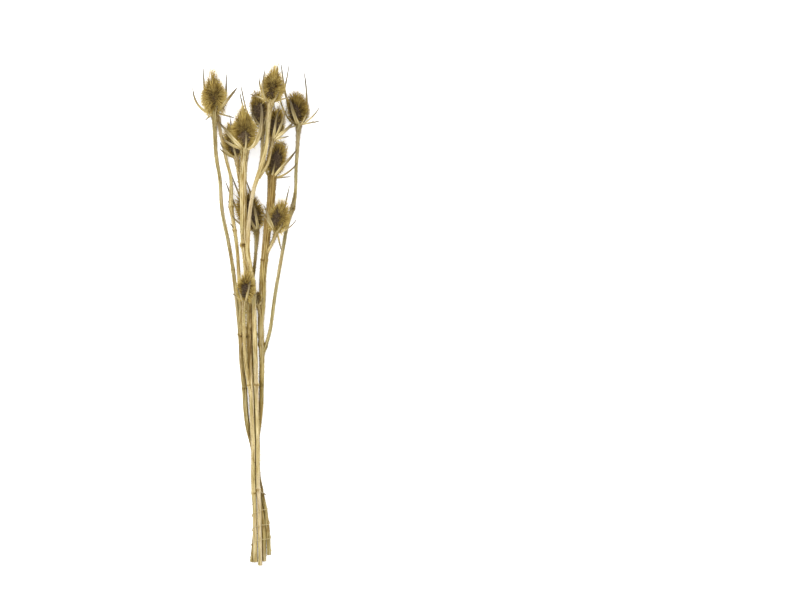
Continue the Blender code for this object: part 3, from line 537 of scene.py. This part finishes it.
def strand_prickles(piece, line, radius, run, along, side, other, headed):
    """Short thorns, sparse low down and crowded in the last stretch below a head."""
    total = run[-1]
    left = total - run
    dense = np.exp(-(left / THORNY_STRETCH) ** 1.5) / THORN_CELL if headed else 0 * run
    sparse = SPARSE_RATE * np.clip(1 - left / SPARSE_STRETCH, 0.3, 1)
    rate = (dense + sparse) * 2 * math.pi * radius
    wanted = np.concatenate([[0], np.cumsum((rate[1:] + rate[:-1]) / 2 * np.diff(run))])
    count = int(wanted[-1])
    at = np.interp(np.arange(count) + rng.uniform(0, 1, count), wanted, run)
    y = np.interp(at, run, line[:, 1])
    at = at[(y < TIE_END - TIE_MARGIN) | (y > TIE_START + TIE_MARGIN)]
    pick = reader(at, run)
    middle, way, a, b = pick(line), pick(along), pick(side), pick(other)
    size = np.interp(at, run, radius)
    near_top = np.exp(-((total - at) / THORNY_STRETCH) ** 1.5) if headed else np.zeros(len(at))
    turn = np.arange(len(at)) * GOLDEN_ANGLE + rng.normal(0, 0.5, len(at))
    out = a * np.cos(turn)[:, None] + b * np.sin(turn)[:, None]
    lengths = rng.uniform(0.8, 2.3, len(at)) * (1 + 0.35 * near_top)
    lean = rng.normal(0.05, 0.35, len(at)) + 0.3 * near_top
    ways = out + way * lean[:, None] + np.cross(way, out) * rng.normal(0, 0.2, len(at))[:, None]
    bends = way * rng.uniform(-0.15, 0.35, len(at))[:, None]
    widths = rng.uniform(0.26, 0.6, len(at)) * (1 - 0.2 * near_top)
    needles(piece, middle + out * (size * 0.9)[:, None], ways, bends, lengths + size * 0.1, widths, widths * 1.4,
            PRICKLE, PRICKLE_MAT, (0.2, 1.0))


def head_frame(head):
    """The head's foot, its axis, the directions to its right and to its top, and the swelling's radius below it."""
    lean, rise = (math.radians(degrees) for degrees in HEADS[head][2:4])
    axis = np.array((math.sin(lean) * math.cos(rise), math.cos(lean) * math.cos(rise), math.sin(rise)))
    right = np.array((math.cos(lean), -math.sin(lean), 0))
    stem = stem_of(head)
    end = STEMS[stem][head if head in STEMS[stem] else "main"][-1]
    return np.array(end[:3]), axis, right, np.cross(right, axis), end[3]


def stem_of(head):
    return MAIN_HEADS.get(head) or next(stem for stem, strands in STEMS.items() if head in strands)


def bract(piece, head, angle, out, up, width, bow):
    """A folded, keeled blade that sweeps out and up, with small thorns on its edges and keel."""
    foot, axis, right, top, swelling = head_frame(head)
    angle = math.radians(angle)
    outward = right * math.cos(angle) + top * math.sin(angle)
    t = np.linspace(0, 1, BRACT_STEPS) ** 0.92
    reach = out * (1 - (1 - t) ** bow) + BRACT_ROOT * swelling
    sink = BRACT_SINK * swelling
    rise = (up + sink) * t ** (0.5 + bow / 2) - sink
    line = foot + outward * reach[:, None] + axis * rise[:, None]
    run = run_of(line)
    wave = np.sin(run / rng.uniform(9, 15) + rng.uniform(0, 6)) * 2.0 * t * (1 - t)
    twist = math.copysign(BRACT_TWIST, -math.sin(angle)) * math.cos(angle)
    twist = twist + rng.normal(0, 0.2) + rng.normal(0, 0.4) * t + 0.25 * np.sin(run / 13)
    flat = np.cross(outward, axis)
    across = flat * np.cos(twist)[:, None] + outward * np.sin(twist)[:, None]
    line = line + flat * wave[:, None]
    line[:, 2] = np.maximum(line[:, 2], LOWEST_BRACT)
    along = unit(np.gradient(line, axis=0))
    across = unit(across - along * (across * along).sum(1, keepdims=True))
    below = np.cross(along, across)
    taper = LONG_TAPER if up > LONG_BRACT else SHORT_TAPER
    half = np.maximum(width / 2 * (1.0 + 0.7 * t) * (1 - t) ** taper, BRACT_THINNEST)
    half *= 1 + 0.06 * np.sin(run / 3.1 + rng.uniform(0, 6))
    keel = np.maximum(BRACT_KEEL * (1 - 0.5 * t), 0.2) * np.minimum(1, half / 0.8)
    fold = rng.uniform(0.22, 0.5)
    thick = np.minimum(BRACT_THICK, half * 0.5)
    # Each corner's place across, its height, and 0 on the upper face, up to 1.2 under it and 2 at the keel.
    section = [(-1, fold, 0), (-0.5, fold * 0.42, 0), (0, 0, 0), (0.5, fold * 0.42, 0), (1, fold, 0),
               (0.5, fold * 0.42, 1), (0.16, 0.1, 1.2), (0, 0, 2), (-0.16, 0.1, 1.2), (-0.5, fold * 0.42, 1)]
    rings = []
    for sideways, height, under in section:
        drop = thick * min(under, 1) + (keel if under == 2 else 0)
        rings.append(line + across * (half * sideways)[:, None] + below * (drop - half * height)[:, None])
    rings = np.stack(rings, 1)
    offset = rng.uniform(0, 300, 3)
    corners = np.array(section)
    n = len(section)
    grain = np.stack(np.broadcast_arrays(
        half[:, None] * corners[:, 0], corners[None, :, 2] * 0.5, run[:, None]), -1) + offset
    tone = np.broadcast_to(t[:, None], (BRACT_STEPS, n))
    piece.add(rings, tone, grain, [grid_faces(BRACT_STEPS, n)[:, ::-1]], BRACT_MAT)
    tip = np.vstack([rings[-1], line[-1] + along[-1] * 0.3])
    piece.add(tip, 1.0, tip + offset, [fan(n)[:, [1, 0, 2]]], BRACT_MAT)
    root = np.vstack([rings[0], line[0]])
    piece.add(root, 0.0, root + offset, [fan(n)], BRACT_MAT)
    # Thorns along both edges and the keel.
    length = run[-1]
    for edge, spacing in ((-1, 1.9), (1, 1.9), (0, 2.6)):
        at = np.arange(rng.uniform(0.5, 2), length * 0.86, spacing)
        at = at + rng.uniform(-0.6, 0.6, len(at))
        pick = reader(at, run)
        wide = np.interp(at, run, half)
        way, over, down = pick(along), pick(across), pick(below)
        if edge:
            roots = pick(line) + over * (edge * wide * 0.96)[:, None] - down * (wide * fold * 0.95)[:, None]
            ways = over * edge - down * 0.15 + way * rng.uniform(0.2, 0.8, len(at))[:, None]
        else:
            roots = pick(line) + down * (np.interp(at, run, keel) * 0.9 + 0.1)[:, None]
            ways = down + way * rng.uniform(0.1, 0.6, len(at))[:, None]
            ways = ways + over * rng.normal(0, 0.2, len(at))[:, None]
        lengths = rng.uniform(0.6, 1.5, len(at)) * (1 - 0.45 * at / length)
        widths = np.full(len(at), 0.17)
        needles(piece, roots, ways, way * 0.15, lengths, widths, widths * 1.4, THORN, PRICKLE_MAT, (0.4, 1.0))


def stub(piece, foot, tip, size):
    """The stump of a leaf's stalk: a short, ragged, keeled blade."""
    foot, tip = np.array(foot, float), np.array(tip, float)
    way = tip - foot
    length = np.linalg.norm(way)
    t = np.linspace(0, 1, STUB_STEPS)
    line = foot + way * t[:, None] + np.array((0, 0, 1.0)) * (0.05 * length * np.sin(math.pi * t))[:, None]
    along = unit(np.gradient(line, axis=0))
    over = unit(np.cross(along, (0, 0, 1.0)))
    up = np.cross(over, along)
    half = size * (1 - t * 0.75) * (1 + 0.08 * np.sin(t * 25))
    theta = angles(STUB_SIDES)
    wide = half[:, None] * np.cos(theta)
    high = 0.55 * half[:, None] * np.sin(theta) + 0.2 * half[:, None] * np.cos(theta) ** 2
    rings = line[:, None] + over[:, None] * wide[..., None] + up[:, None] * high[..., None]
    grain = rings + rng.uniform(0, 300, 3)
    tone = np.broadcast_to(0.55 + t[:, None] * 0.4, rings.shape[:2])
    piece.add(rings, tone, grain, [grid_faces(STUB_STEPS, STUB_SIDES)], BRACT_MAT)
    end = np.vstack([rings[-1], line[-1] + along[-1] * 0.4])
    piece.add(end, 0.9, end, [fan(STUB_SIDES)], BRACT_MAT)
    count = int(length * 1.2)
    at = rng.uniform(0.1, 0.95, count)
    turn = rng.uniform(0, 6.28, count)
    pick = reader(at, t)
    out = pick(over) * np.cos(turn)[:, None] + pick(up) * (0.7 * np.sin(turn))[:, None]
    roots = pick(line) + out * (np.interp(at, t, half) * 0.8)[:, None]
    lengths, widths = rng.uniform(0.7, 1.3, count), np.full(count, 0.2)
    needles(piece, roots, out + pick(along) * 0.3, pick(along) * 0.1, lengths, widths, widths * 1.3, THORN,
            PRICKLE_MAT, (0.4, 1.0))


# Heads

def core_radius(radius, share):
    """The egg-shaped core's radius at a share of its length."""
    return CORE_SHARE * radius * np.sin(math.pi * np.clip(share, 0, 1) ** 0.78) ** 0.62


def core_height(head):
    length, radius = HEADS[head][:2]
    return length - 0.35 * radius


def core(piece, head):
    foot, axis, right, top, _ = head_frame(head)
    tall = core_height(head)
    share = 0.5 - 0.5 * np.cos(np.linspace(0.02, math.pi - 0.02, CORE_RINGS))
    theta = angles(CORE_SIDES)
    wide = core_radius(HEADS[head][1], share) * 0.95
    middle = foot + axis * (GAP + tall * share)[:, None]
    spin = np.cos(theta)[:, None] * right + np.sin(theta)[:, None] * top
    verts = middle[:, None] + spin[None] * wide[:, None, None]
    piece.add(verts, 0.5, verts, [grid_faces(CORE_RINGS, CORE_SIDES)[:, ::-1]], CORE_MAT)


def bristles(piece, head, trees):
    """Scales in close spirals over the core, each drawn out into a stiff awn, with longer ones in the top tuft."""
    foot, axis, right, top, _ = head_frame(head)
    radius, tall = HEADS[head][1], core_height(head)
    side_droop, point, longer, pale, grey, worn_at = AWNS[head]
    fine = np.linspace(0.012, 0.995, 400)
    wide = core_radius(radius, fine)
    area = np.concatenate([[0], np.cumsum((wide[1:] + wide[:-1]) * math.pi * np.diff(fine) * tall)])
    count = int(area[-1] / CELL)
    share = np.interp((np.arange(count) + 0.5) / count * area[-1], area, fine)
    turn = np.arange(count) * GOLDEN_ANGLE
    outward = right * np.cos(turn)[:, None] + top * np.sin(turn)[:, None]
    sideways = -right * np.sin(turn)[:, None] + top * np.cos(turn)[:, None]
    droop = FRONT_DROOP + (side_droop - FRONT_DROOP) * np.abs(np.cos(turn)) ** 0.7
    slender = point > SLENDER
    # How far each awn points up along the head, in degrees.
    lift = -droop + (droop + 18) * share + 66 * share ** (2.1 if slender else 3) + rng.normal(0, 7, count)
    lift = np.radians(lift)
    if slender:
        lift += np.radians(26) * np.clip((share - 0.8) / 0.2, 0, 1)
    swerve = np.sin(7 * turn + 31 * share) * 0.12 + rng.normal(0, 0.09, count)
    ways = unit(outward * np.cos(lift)[:, None] + axis * np.sin(lift)[:, None] + sideways * swerve[:, None])
    wide = core_radius(radius, share)
    roots = foot + axis * (GAP + tall * share)[:, None] + outward * (wide * 0.93)[:, None]
    lengths = radius * (1 - CORE_SHARE) * (1.3 + 0.65 * share ** 4) * rng.uniform(0.85, 1.25, count)
    lengths *= longer
    # Low awns reach about as far out as those above them.
    wanted = (0.9 * radius - wide) / np.maximum(np.cos(lift), 0.4) * rng.uniform(0.7, 1.1, count)
    lengths = np.where(share < 0.2, np.maximum(lengths, np.minimum(wanted, 0.85 * radius)), lengths)
    lengths *= np.where(share > 0.9, rng.uniform(0.9, point, count), 1)
    if slender:
        lengths *= 1 - 0.34 * np.exp(-((share - 0.73) / 0.15) ** 2)
    worn = np.zeros(count, bool)
    if worn_at:
        angle, spread, low, high, left = worn_at
        off = np.abs((np.degrees(turn) % 360 - angle + 180) % 360 - 180) / spread
        along = np.abs(share - (low + high) / 2) / ((high - low) / 2)
        here = (off ** 2 + along ** 2 < rng.uniform(0.6, 1.15, count)) & (rng.uniform(0, 1, count) < 0.9)
        lengths = np.where(here, lengths * left + rng.uniform(*STUMP, count) * (1 - left), lengths)
        worn = here & (left == 0)
    bends = axis * rng.uniform(0.02, 0.22, count)[:, None] + sideways * rng.normal(0, 0.05, count)[:, None]
    over = (roots + (ways + bends) * lengths[:, None])[:, 1] - FARTHEST
    lengths = np.where(over > 0, lengths - over / np.maximum((ways + bends)[:, 1], 0.3), lengths)
    tips = roots + ways * lengths[:, None] + bends * lengths[:, None]
    for i in range(count):
        way = Vector(tips[i] - roots[i])
        reach = way.length
        way.normalize()
        start = Vector(roots[i]) + way * AWN_CLEAR
        for tree in trees:
            hit = tree.ray_cast(start, way, reach)
            if hit[0] is not None:
                reach = min(reach, hit[3] + AWN_TOUCH)
        if tips[i][2] < 0.2 and way.z < -0.01:
            reach = min(reach, max((roots[i][2] - SURFACE_GAP) / -way.z, 0.5))
        lengths[i] *= reach / max(np.linalg.norm(tips[i] - roots[i]), 0.01)
    keep = lengths > SHORTEST_AWN
    widths = SCALE_WIDTH * math.sqrt(CELL) * rng.uniform(0.85, 1.1, count)
    thicks = np.full(count, SCALE_THICK)
    grains = roots * 1.3 + rng.normal(0, 0.5, (count, 3))
    for some, mat, high in ((keep & ~worn, BRISTLE_MAT, pale), (keep & worn, SCALE_MAT, grey)):
        needles(piece, roots[some], ways[some], bends[some], lengths[some], widths[some], thicks[some], AWN, mat,
                (0.0, high), side=sideways[some], vary=grains[some])


# Materials

class Tree:
    """Short ways to add and join a material's nodes."""

    def __init__(self, name, roughness, specular=SPECULAR):
        self.mat = bpy.data.materials.new(name)
        self.mat.use_nodes = True
        self.nodes = self.mat.node_tree.nodes
        self.links = self.mat.node_tree.links
        self.shader = self.nodes["Principled BSDF"]
        self.shader.inputs["Roughness"].default_value = roughness
        self.shader.inputs["Specular IOR Level"].default_value = specular

    def node(self, kind, inputs=(), **values):
        node = self.nodes.new("ShaderNode" + kind)
        for key, value in values.items():
            setattr(node, key, value)
        for key, value in dict(inputs).items():
            if isinstance(value, bpy.types.NodeSocket):
                self.links.new(value, node.inputs[key])
            else:
                node.inputs[key].default_value = value
        return node

    def attribute(self, name, output):
        return self.node("Attribute", attribute_name=name).outputs[output]

    def noise(self, vector, scale, detail=3.0, roughness=0.55):
        """Noise read at a place that is first stretched by a scale in each direction."""
        place = self.node("Mapping", {"Vector": vector, "Scale": scale}).outputs[0]
        return self.node("TexNoise", {
            "Vector": place, "Scale": 1.0, "Detail": detail, "Roughness": roughness}).outputs[0]

    def math(self, operation, a, b):
        return self.node("Math", {0: a, 1: b}, operation=operation).outputs[0]

    def marks(self):
        """The grain's place and the tone that the mesh carries."""
        return self.attribute("grain", "Vector"), self.attribute("tone", "Fac")

    def ramp(self, factor, stops):
        node = self.node("ValToRGB", {"Fac": factor})
        ramp = node.color_ramp
        while len(ramp.elements) < len(stops):
            ramp.elements.new(0.5)
        for element, (place, colour) in zip(ramp.elements, stops):
            element.position = place
            element.color = (*colour, 1)
        return node.outputs[0]

    def span(self, value, low, high, to_low, to_high):
        return self.node("MapRange", {
            "Value": value, "From Min": low, "From Max": high, "To Min": to_low, "To Max": to_high}).outputs[0]

    def mix(self, factor, a, b, blend="MIX"):
        node = self.node("Mix", data_type="RGBA", blend_type=blend)
        for key, value in ((0, factor), (6, a), (7, b)):
            if isinstance(value, bpy.types.NodeSocket):
                self.links.new(value, node.inputs[key])
            else:
                node.inputs[key].default_value = value if key == 0 else (*value, 1)
        return node.outputs[2]

    def tint(self, colour, by):
        return self.mix(1.0, colour, by, "MULTIPLY")

    def grey(self, value, low, high):
        """The same number in all three colours, read from noise."""
        value = self.span(value, 0.3, 0.7, low, high)
        return self.node("CombineColor", {0: value, 1: value, 2: value}).outputs[0]

    def finish(self, colour, roughness=None, height=None, strength=0.5, distance=0.0003):
        self.links.new(colour, self.shader.inputs["Base Color"])
        if roughness is not None:
            self.links.new(roughness, self.shader.inputs["Roughness"])
        if height is not None:
            bump = self.node("Bump", {"Strength": strength, "Distance": distance, "Height": height})
            self.links.new(bump.outputs[0], self.shader.inputs["Normal"])
        return self.mat


def straw_material(name, light, mid, dark, olive, stain, bleach, browned=None):
    """Dry stalk: fine lengthwise streaks, painted shade in the grooves and where other strands cover it, weathered
    blotches and specks. Browned gives the two places along +Y, in metres, between which it grows brown."""
    tree = Tree(name, 0.6)
    grain, tone = tree.marks()
    streaks = tree.noise(grain, (1.5, 1.5, 0.035), 4)
    fibres = tree.noise(grain, (5.0, 5.0, 0.12))
    blotches = tree.noise(grain, (0.12, 0.12, 0.018))
    specks = tree.noise(grain, (2.2, 2.2, 0.9), 4, 0.7)
    stains = tree.noise(grain, (0.09, 0.09, 0.035))
    bleached = tree.noise(grain, (0.13, 0.13, 0.014))
    patches = tree.noise(grain, (0.5, 0.5, 0.05))
    tone = tree.math("MULTIPLY", tone, tree.span(patches, 0.3, 0.7, 0.5, 1.7))
    colour = tree.ramp(streaks, [(0.36, dark), (0.49, mid), (0.62, light)])
    colour = tree.mix(tree.span(blotches, 0.47, 0.68, 0, 0.7), colour, olive)
    colour = tree.mix(tree.span(bleached, 0.5, 0.64, 0, 0.6), colour, bleach)
    stained = tree.span(stains, 0.56, 0.7, 0, 0.6)
    if browned:
        place = tree.node("TexCoord").outputs["Object"]
        place = tree.node("SeparateXYZ", {0: place}).outputs[1]
        stained = tree.math("MAXIMUM", stained, tree.span(place, *browned, 0, 0.8))
    colour = tree.mix(stained, colour, stain)
    # The tone carries painted shade from the grooves and from strands lying over each other, as well as the leaf scars'
    # own brown; this ramp turns it into colour.
    shade = tree.ramp(tone, [(0.05, (0.09, 0.05, 0.012)), (0.4, (0.58, 0.48, 0.27)), (0.78, (1.05, 1.05, 1.05))])
    colour = tree.tint(colour, shade)
    colour = tree.tint(colour, tree.grey(fibres, 0.86, 1.12))
    colour = tree.mix(tree.span(specks, 0.59, 0.68, 0, 0.7), colour, (0.15, 0.095, 0.035))
    return tree.finish(colour, tree.span(streaks, 0.3, 0.7, 0.5, 0.74), fibres, 0.55, 0.0004)


def bract_material():
    """Thin dry blade: pale along the rib, streaked, greyer and browner towards the tip."""
    tree = Tree("bract_blade", 0.55)
    grain, tone = tree.marks()
    streaks = tree.noise(grain, (1.8, 1.8, 0.05), 4)
    blotches = tree.noise(grain, (0.2, 0.2, 0.06))
    colour = tree.ramp(streaks, [
        (0.38, (0.19, 0.125, 0.035)), (0.5, (0.42, 0.335, 0.145)), (0.64, (0.66, 0.575, 0.35))])
    colour = tree.mix(tree.span(blotches, 0.5, 0.7, 0, 0.6), colour, (0.33, 0.27, 0.12))
    tips = tree.ramp(tone, [(0.35, (1, 1, 1)), (0.62, (0.54, 0.52, 0.53)), (0.9, (0.24, 0.225, 0.24))])
    colour = tree.tint(colour, tips)
    return tree.finish(colour, tree.span(streaks, 0.3, 0.7, 0.45, 0.7), streaks)


def needle_material(name, roughness, specular, scale, own, along):
    """Each needle has a colour of its own, and another tint from root to tip."""
    tree = Tree(name, roughness, specular)
    grain, tone = tree.marks()
    spread = tree.noise(grain, (scale, scale, scale), 2)
    return tree.finish(tree.tint(tree.ramp(spread, own), tree.ramp(tone, along)))


def plain_material(name, specular, scale, detail, stops, strength, distance):
    """Matt and mottled, with bumps."""
    tree = Tree(name, 0.8, specular)
    spots = tree.noise(tree.attribute("grain", "Vector"), scale, detail)
    return tree.finish(tree.ramp(spots, stops), None, spots, strength, distance)


def pith_material():
    """Cut end: greyish wood round soft, pale, dusty pith."""
    tree = Tree("cut_end", 0.85)
    grain, tone = tree.marks()
    spots = tree.noise(grain, (1.5, 1.5, 1.5), 4)
    colour = tree.ramp(tone, [(0.1, (0.46, 0.39, 0.27)), (0.4, (0.33, 0.26, 0.16)), (0.75, (0.40, 0.33, 0.20))])
    colour = tree.tint(colour, tree.grey(spots, 0.65, 1.15))
    return tree.finish(colour, None, spots, 0.8, 0.0005)


# The bunch

straws = [
    straw_material("straw_pale", (0.60, 0.51, 0.30), (0.46, 0.375, 0.175), (0.19, 0.13, 0.035), (0.34, 0.29, 0.12),
                   (0.33, 0.23, 0.085), (0.50, 0.42, 0.30)),
    straw_material("straw_olive", (0.47, 0.405, 0.225), (0.32, 0.27, 0.12), (0.125, 0.09, 0.024), (0.25, 0.235, 0.11),
                   (0.25, 0.165, 0.055), (0.40, 0.345, 0.24)),
    straw_material("straw_brown", (0.49, 0.405, 0.19), (0.34, 0.27, 0.10), (0.13, 0.09, 0.022), (0.26, 0.225, 0.085),
                   (0.225, 0.145, 0.038), (0.44, 0.37, 0.25), (0.03, 0.12)),
]
bract_mat, pith_mat = bract_material(), pith_material()
prickle_mat = needle_material(
    "prickle", 0.5, SPECULAR, 0.3,
    [(0.38, (0.10, 0.06, 0.018)), (0.52, (0.24, 0.165, 0.05)), (0.66, (0.42, 0.33, 0.13))],
    [(0.2, (0.85, 0.82, 0.78)), (0.6, (1, 1, 1)), (1.0, (0.75, 0.62, 0.5))])
# Awns are brown at their scales and turn to olive straw towards the tip; the near-black at their roots, deep in the
# head, is painted shade.
bristle_mat = needle_material(
    "bristle_awn", 0.5, 0.08, 0.35,
    [(0.36, (0.40, 0.30, 0.14)), (0.5, (1.0, 0.96, 0.86)), (0.64, (1.6, 1.6, 1.55))],
    [(0.04, (0.05, 0.031, 0.012)), (0.12, (0.11, 0.074, 0.026)), (0.26, (0.25, 0.175, 0.045)),
     (0.6, (0.39, 0.295, 0.095)), (1.0, (0.57, 0.485, 0.23))])
# What is left of worn awns is brown, with greyer, paler ends.
scale_mat = needle_material(
    "spent_scale", 0.7, 0.06, 0.5,
    [(0.36, (0.05, 0.032, 0.012)), (0.5, (0.13, 0.09, 0.045)), (0.64, (0.30, 0.235, 0.155))],
    [(0.0, (0.35, 0.33, 0.30)), (0.35, (1, 1, 1)), (1.0, (2.6, 2.5, 2.5))])
core_mat = plain_material(
    "head_core", 0.05, (0.9, 0.9, 0.9), 3,
    [(0.35, (0.03, 0.02, 0.012)), (0.6, (0.09, 0.062, 0.042)), (0.75, (0.15, 0.11, 0.08))], 0.6, 0.0006)
twine_mat = plain_material(
    "tie_twine", SPECULAR, (3.0, 3.0, 0.5), 4,
    [(0.3, (0.24, 0.18, 0.085)), (0.5, (0.42, 0.34, 0.17)), (0.72, (0.56, 0.47, 0.26))], 0.7, 0.0002)

trees = []
mains = []
pieces = {}
for stem, strands in STEMS.items():
    piece = Piece()
    made = []
    for name, route in strands.items():
        main = name == "main"
        mat = OLIVE_MAT if (stem, name) in OLIVE else BROWN_MAT if (stem, name) in BROWN else STRAW_MAT
        sides, ribs = (STEM_SIDES, STEM_RIBS) if main else (BRANCH_SIDES, BRANCH_RIBS)
        lines, body = strand(piece, route, sides, ribs, STUBS[stem], RINGS[stem] if main else (), main, mat)
        made.append((name, lines, body))
        if main:
            mains.append(lines[:2])
    pieces[stem] = (piece, made)
# Paint shade into the strands' colour where they lie over or close beside each other, and on their own undersides.
paint_crevice_shade([body for _, made in pieces.values() for _, _, body in made])
for stem, (piece, made) in pieces.items():
    for foot, tip, size in STUBS[stem]:
        stub(piece, foot, tip, size)
    for head in HEADS:
        if stem_of(head) == stem:
            for shape in HEADS[head][4]:
                bract(piece, head, *shape)
    trees.append(piece.tree())
    for name, lines, _ in made:
        strand_prickles(piece, *lines, name != "shoot")
    obj = piece.build(f"{stem}_detail", [straws[0], bract_mat, prickle_mat, pith_mat, *straws[1:]])
    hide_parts(stem)
    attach(obj, "root")

cores = {}
for head in HEADS:
    piece = Piece()
    core(piece, head)
    cores[head] = (piece, piece.tree())
for head, (piece, _) in cores.items():
    others = [tree for name, (_, tree) in cores.items() if name != head]
    bristles(piece, head, trees + others)
    obj = piece.build(f"{head}_detail", [core_mat, bristle_mat, scale_mat])
    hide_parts(head)
    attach(obj, "root")


def tie_route():
    """Turns of a thin cord round all five stems, a little outside their common outline."""
    points = []
    for i in range(TIE_STEPS + 1):
        y = TIE_START + (TIE_END - TIE_START) * i / TIE_STEPS
        turn = 2 * math.pi * TIE_TURNS * i / TIE_STEPS
        look = np.array((math.cos(turn), 0, math.sin(turn)))
        best = None
        for line, radius in mains:
            middle = np.array([np.interp(y, line[:, 1], line[:, k]) for k in range(3)])
            size = np.interp(y, line[:, 1], radius)
            if best is None or middle @ look + size > best[0] @ look + best[1]:
                best = (middle, size)
        points.append(best[0] + look * (best[1] + TIE_CLEAR + TIE_RADIUS))
    return np.array(points)


piece = Piece()
coarse = tie_route()
run = run_of(coarse)
at = np.arange(0, run[-1], TIE_SPACING)
line = reader(at, run)(coarse)
for _ in range(6):
    line[1:-1] = (line[:-2] + 2 * line[1:-1] + line[2:]) / 4
_, side, other = frames(line)
theta = angles(PLY_SIDES)
for ply in range(PLIES):
    turn = at / PLY_PITCH + ply * 2 * math.pi / PLIES
    middle = line + (side * np.cos(turn)[:, None] + other * np.sin(turn)[:, None]) * PLY_OFFSET
    rings = middle[:, None] + round_line(side, other, theta) * PLY_RADIUS
    grain = np.stack(np.broadcast_arrays(np.cos(theta)[None] * 0.5, np.sin(theta)[None] * 0.5, at[:, None]), -1)
    piece.add(rings, 0.5, grain + ply * 40.0, [grid_faces(len(line), PLY_SIDES)], 0)
    for end in (0, -1):
        cap = np.vstack([rings[end], line[end]])
        piece.add(cap, 0.5, cap, [fan(PLY_SIDES)], 0)
obj = piece.build("tie_cord", [twine_mat])
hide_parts("tie")
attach(obj, "root")


# Floor, light and camera

bpy.ops.mesh.primitive_plane_add(size=FLOOR_SIZE, location=(0, 0, -FLOOR_DROP))
floor = bpy.context.object
floor.name = "floor"
paper = Tree("floor_paper", 0.9)
paper.shader.inputs["Emission Color"].default_value = (1, 1, 1, 1)
paper.shader.inputs["Emission Strength"].default_value = FLOOR_GLOW
mottle = paper.noise(paper.node("TexCoord").outputs["Object"], (40, 40, 40), 2)
floor.data.materials.append(paper.finish(paper.ramp(mottle, [(0.3, (0.90, 0.90, 0.90)), (0.7, (0.94, 0.94, 0.94))])))

world = bpy.data.worlds.new("studio")
world.use_nodes = True
world.node_tree.nodes["Background"].inputs["Color"].default_value = (1, 1, 1, 1)
world.node_tree.nodes["Background"].inputs["Strength"].default_value = WORLD_LIGHT
scene.world = world


def softbox(name, place, target, size, power):
    light = bpy.data.lights.new(name, "AREA")
    light.shape = "RECTANGLE"
    light.size, light.size_y = size
    light.energy = power
    obj = bpy.data.objects.new(name, light)
    obj.location = place
    obj.rotation_euler = (Vector(target) - Vector(place)).to_track_quat("-Z", "Y").to_euler()
    obj.visible_camera = False
    scene.collection.objects.link(obj)


softbox("key", (-0.4, 0.4, 2.1), (0, 0, 0), (1.8, 1.8), 76)
softbox("fill", (1.6, -0.6, 1.4), (0, 0, 0), (1.2, 1.2), 8)

lens = bpy.data.cameras.new("camera")
lens.type = "ORTHO"
lens.ortho_scale = PHOTO_SIZE[0] * PIXEL * MM
camera = bpy.data.objects.new("camera", lens)
centre_x = ((PHOTO_SIZE[0] / 2 - PHOTO_ORIGIN[0]) * PIXEL - SHIFT[0]) * MM
centre_y = ((PHOTO_ORIGIN[1] - PHOTO_SIZE[1] / 2) * PIXEL - SHIFT[1]) * MM
camera.location = (centre_x, centre_y, CAMERA_HEIGHT)
scene.collection.objects.link(camera)
scene.camera = camera
scene.view_settings.view_transform = "Standard"
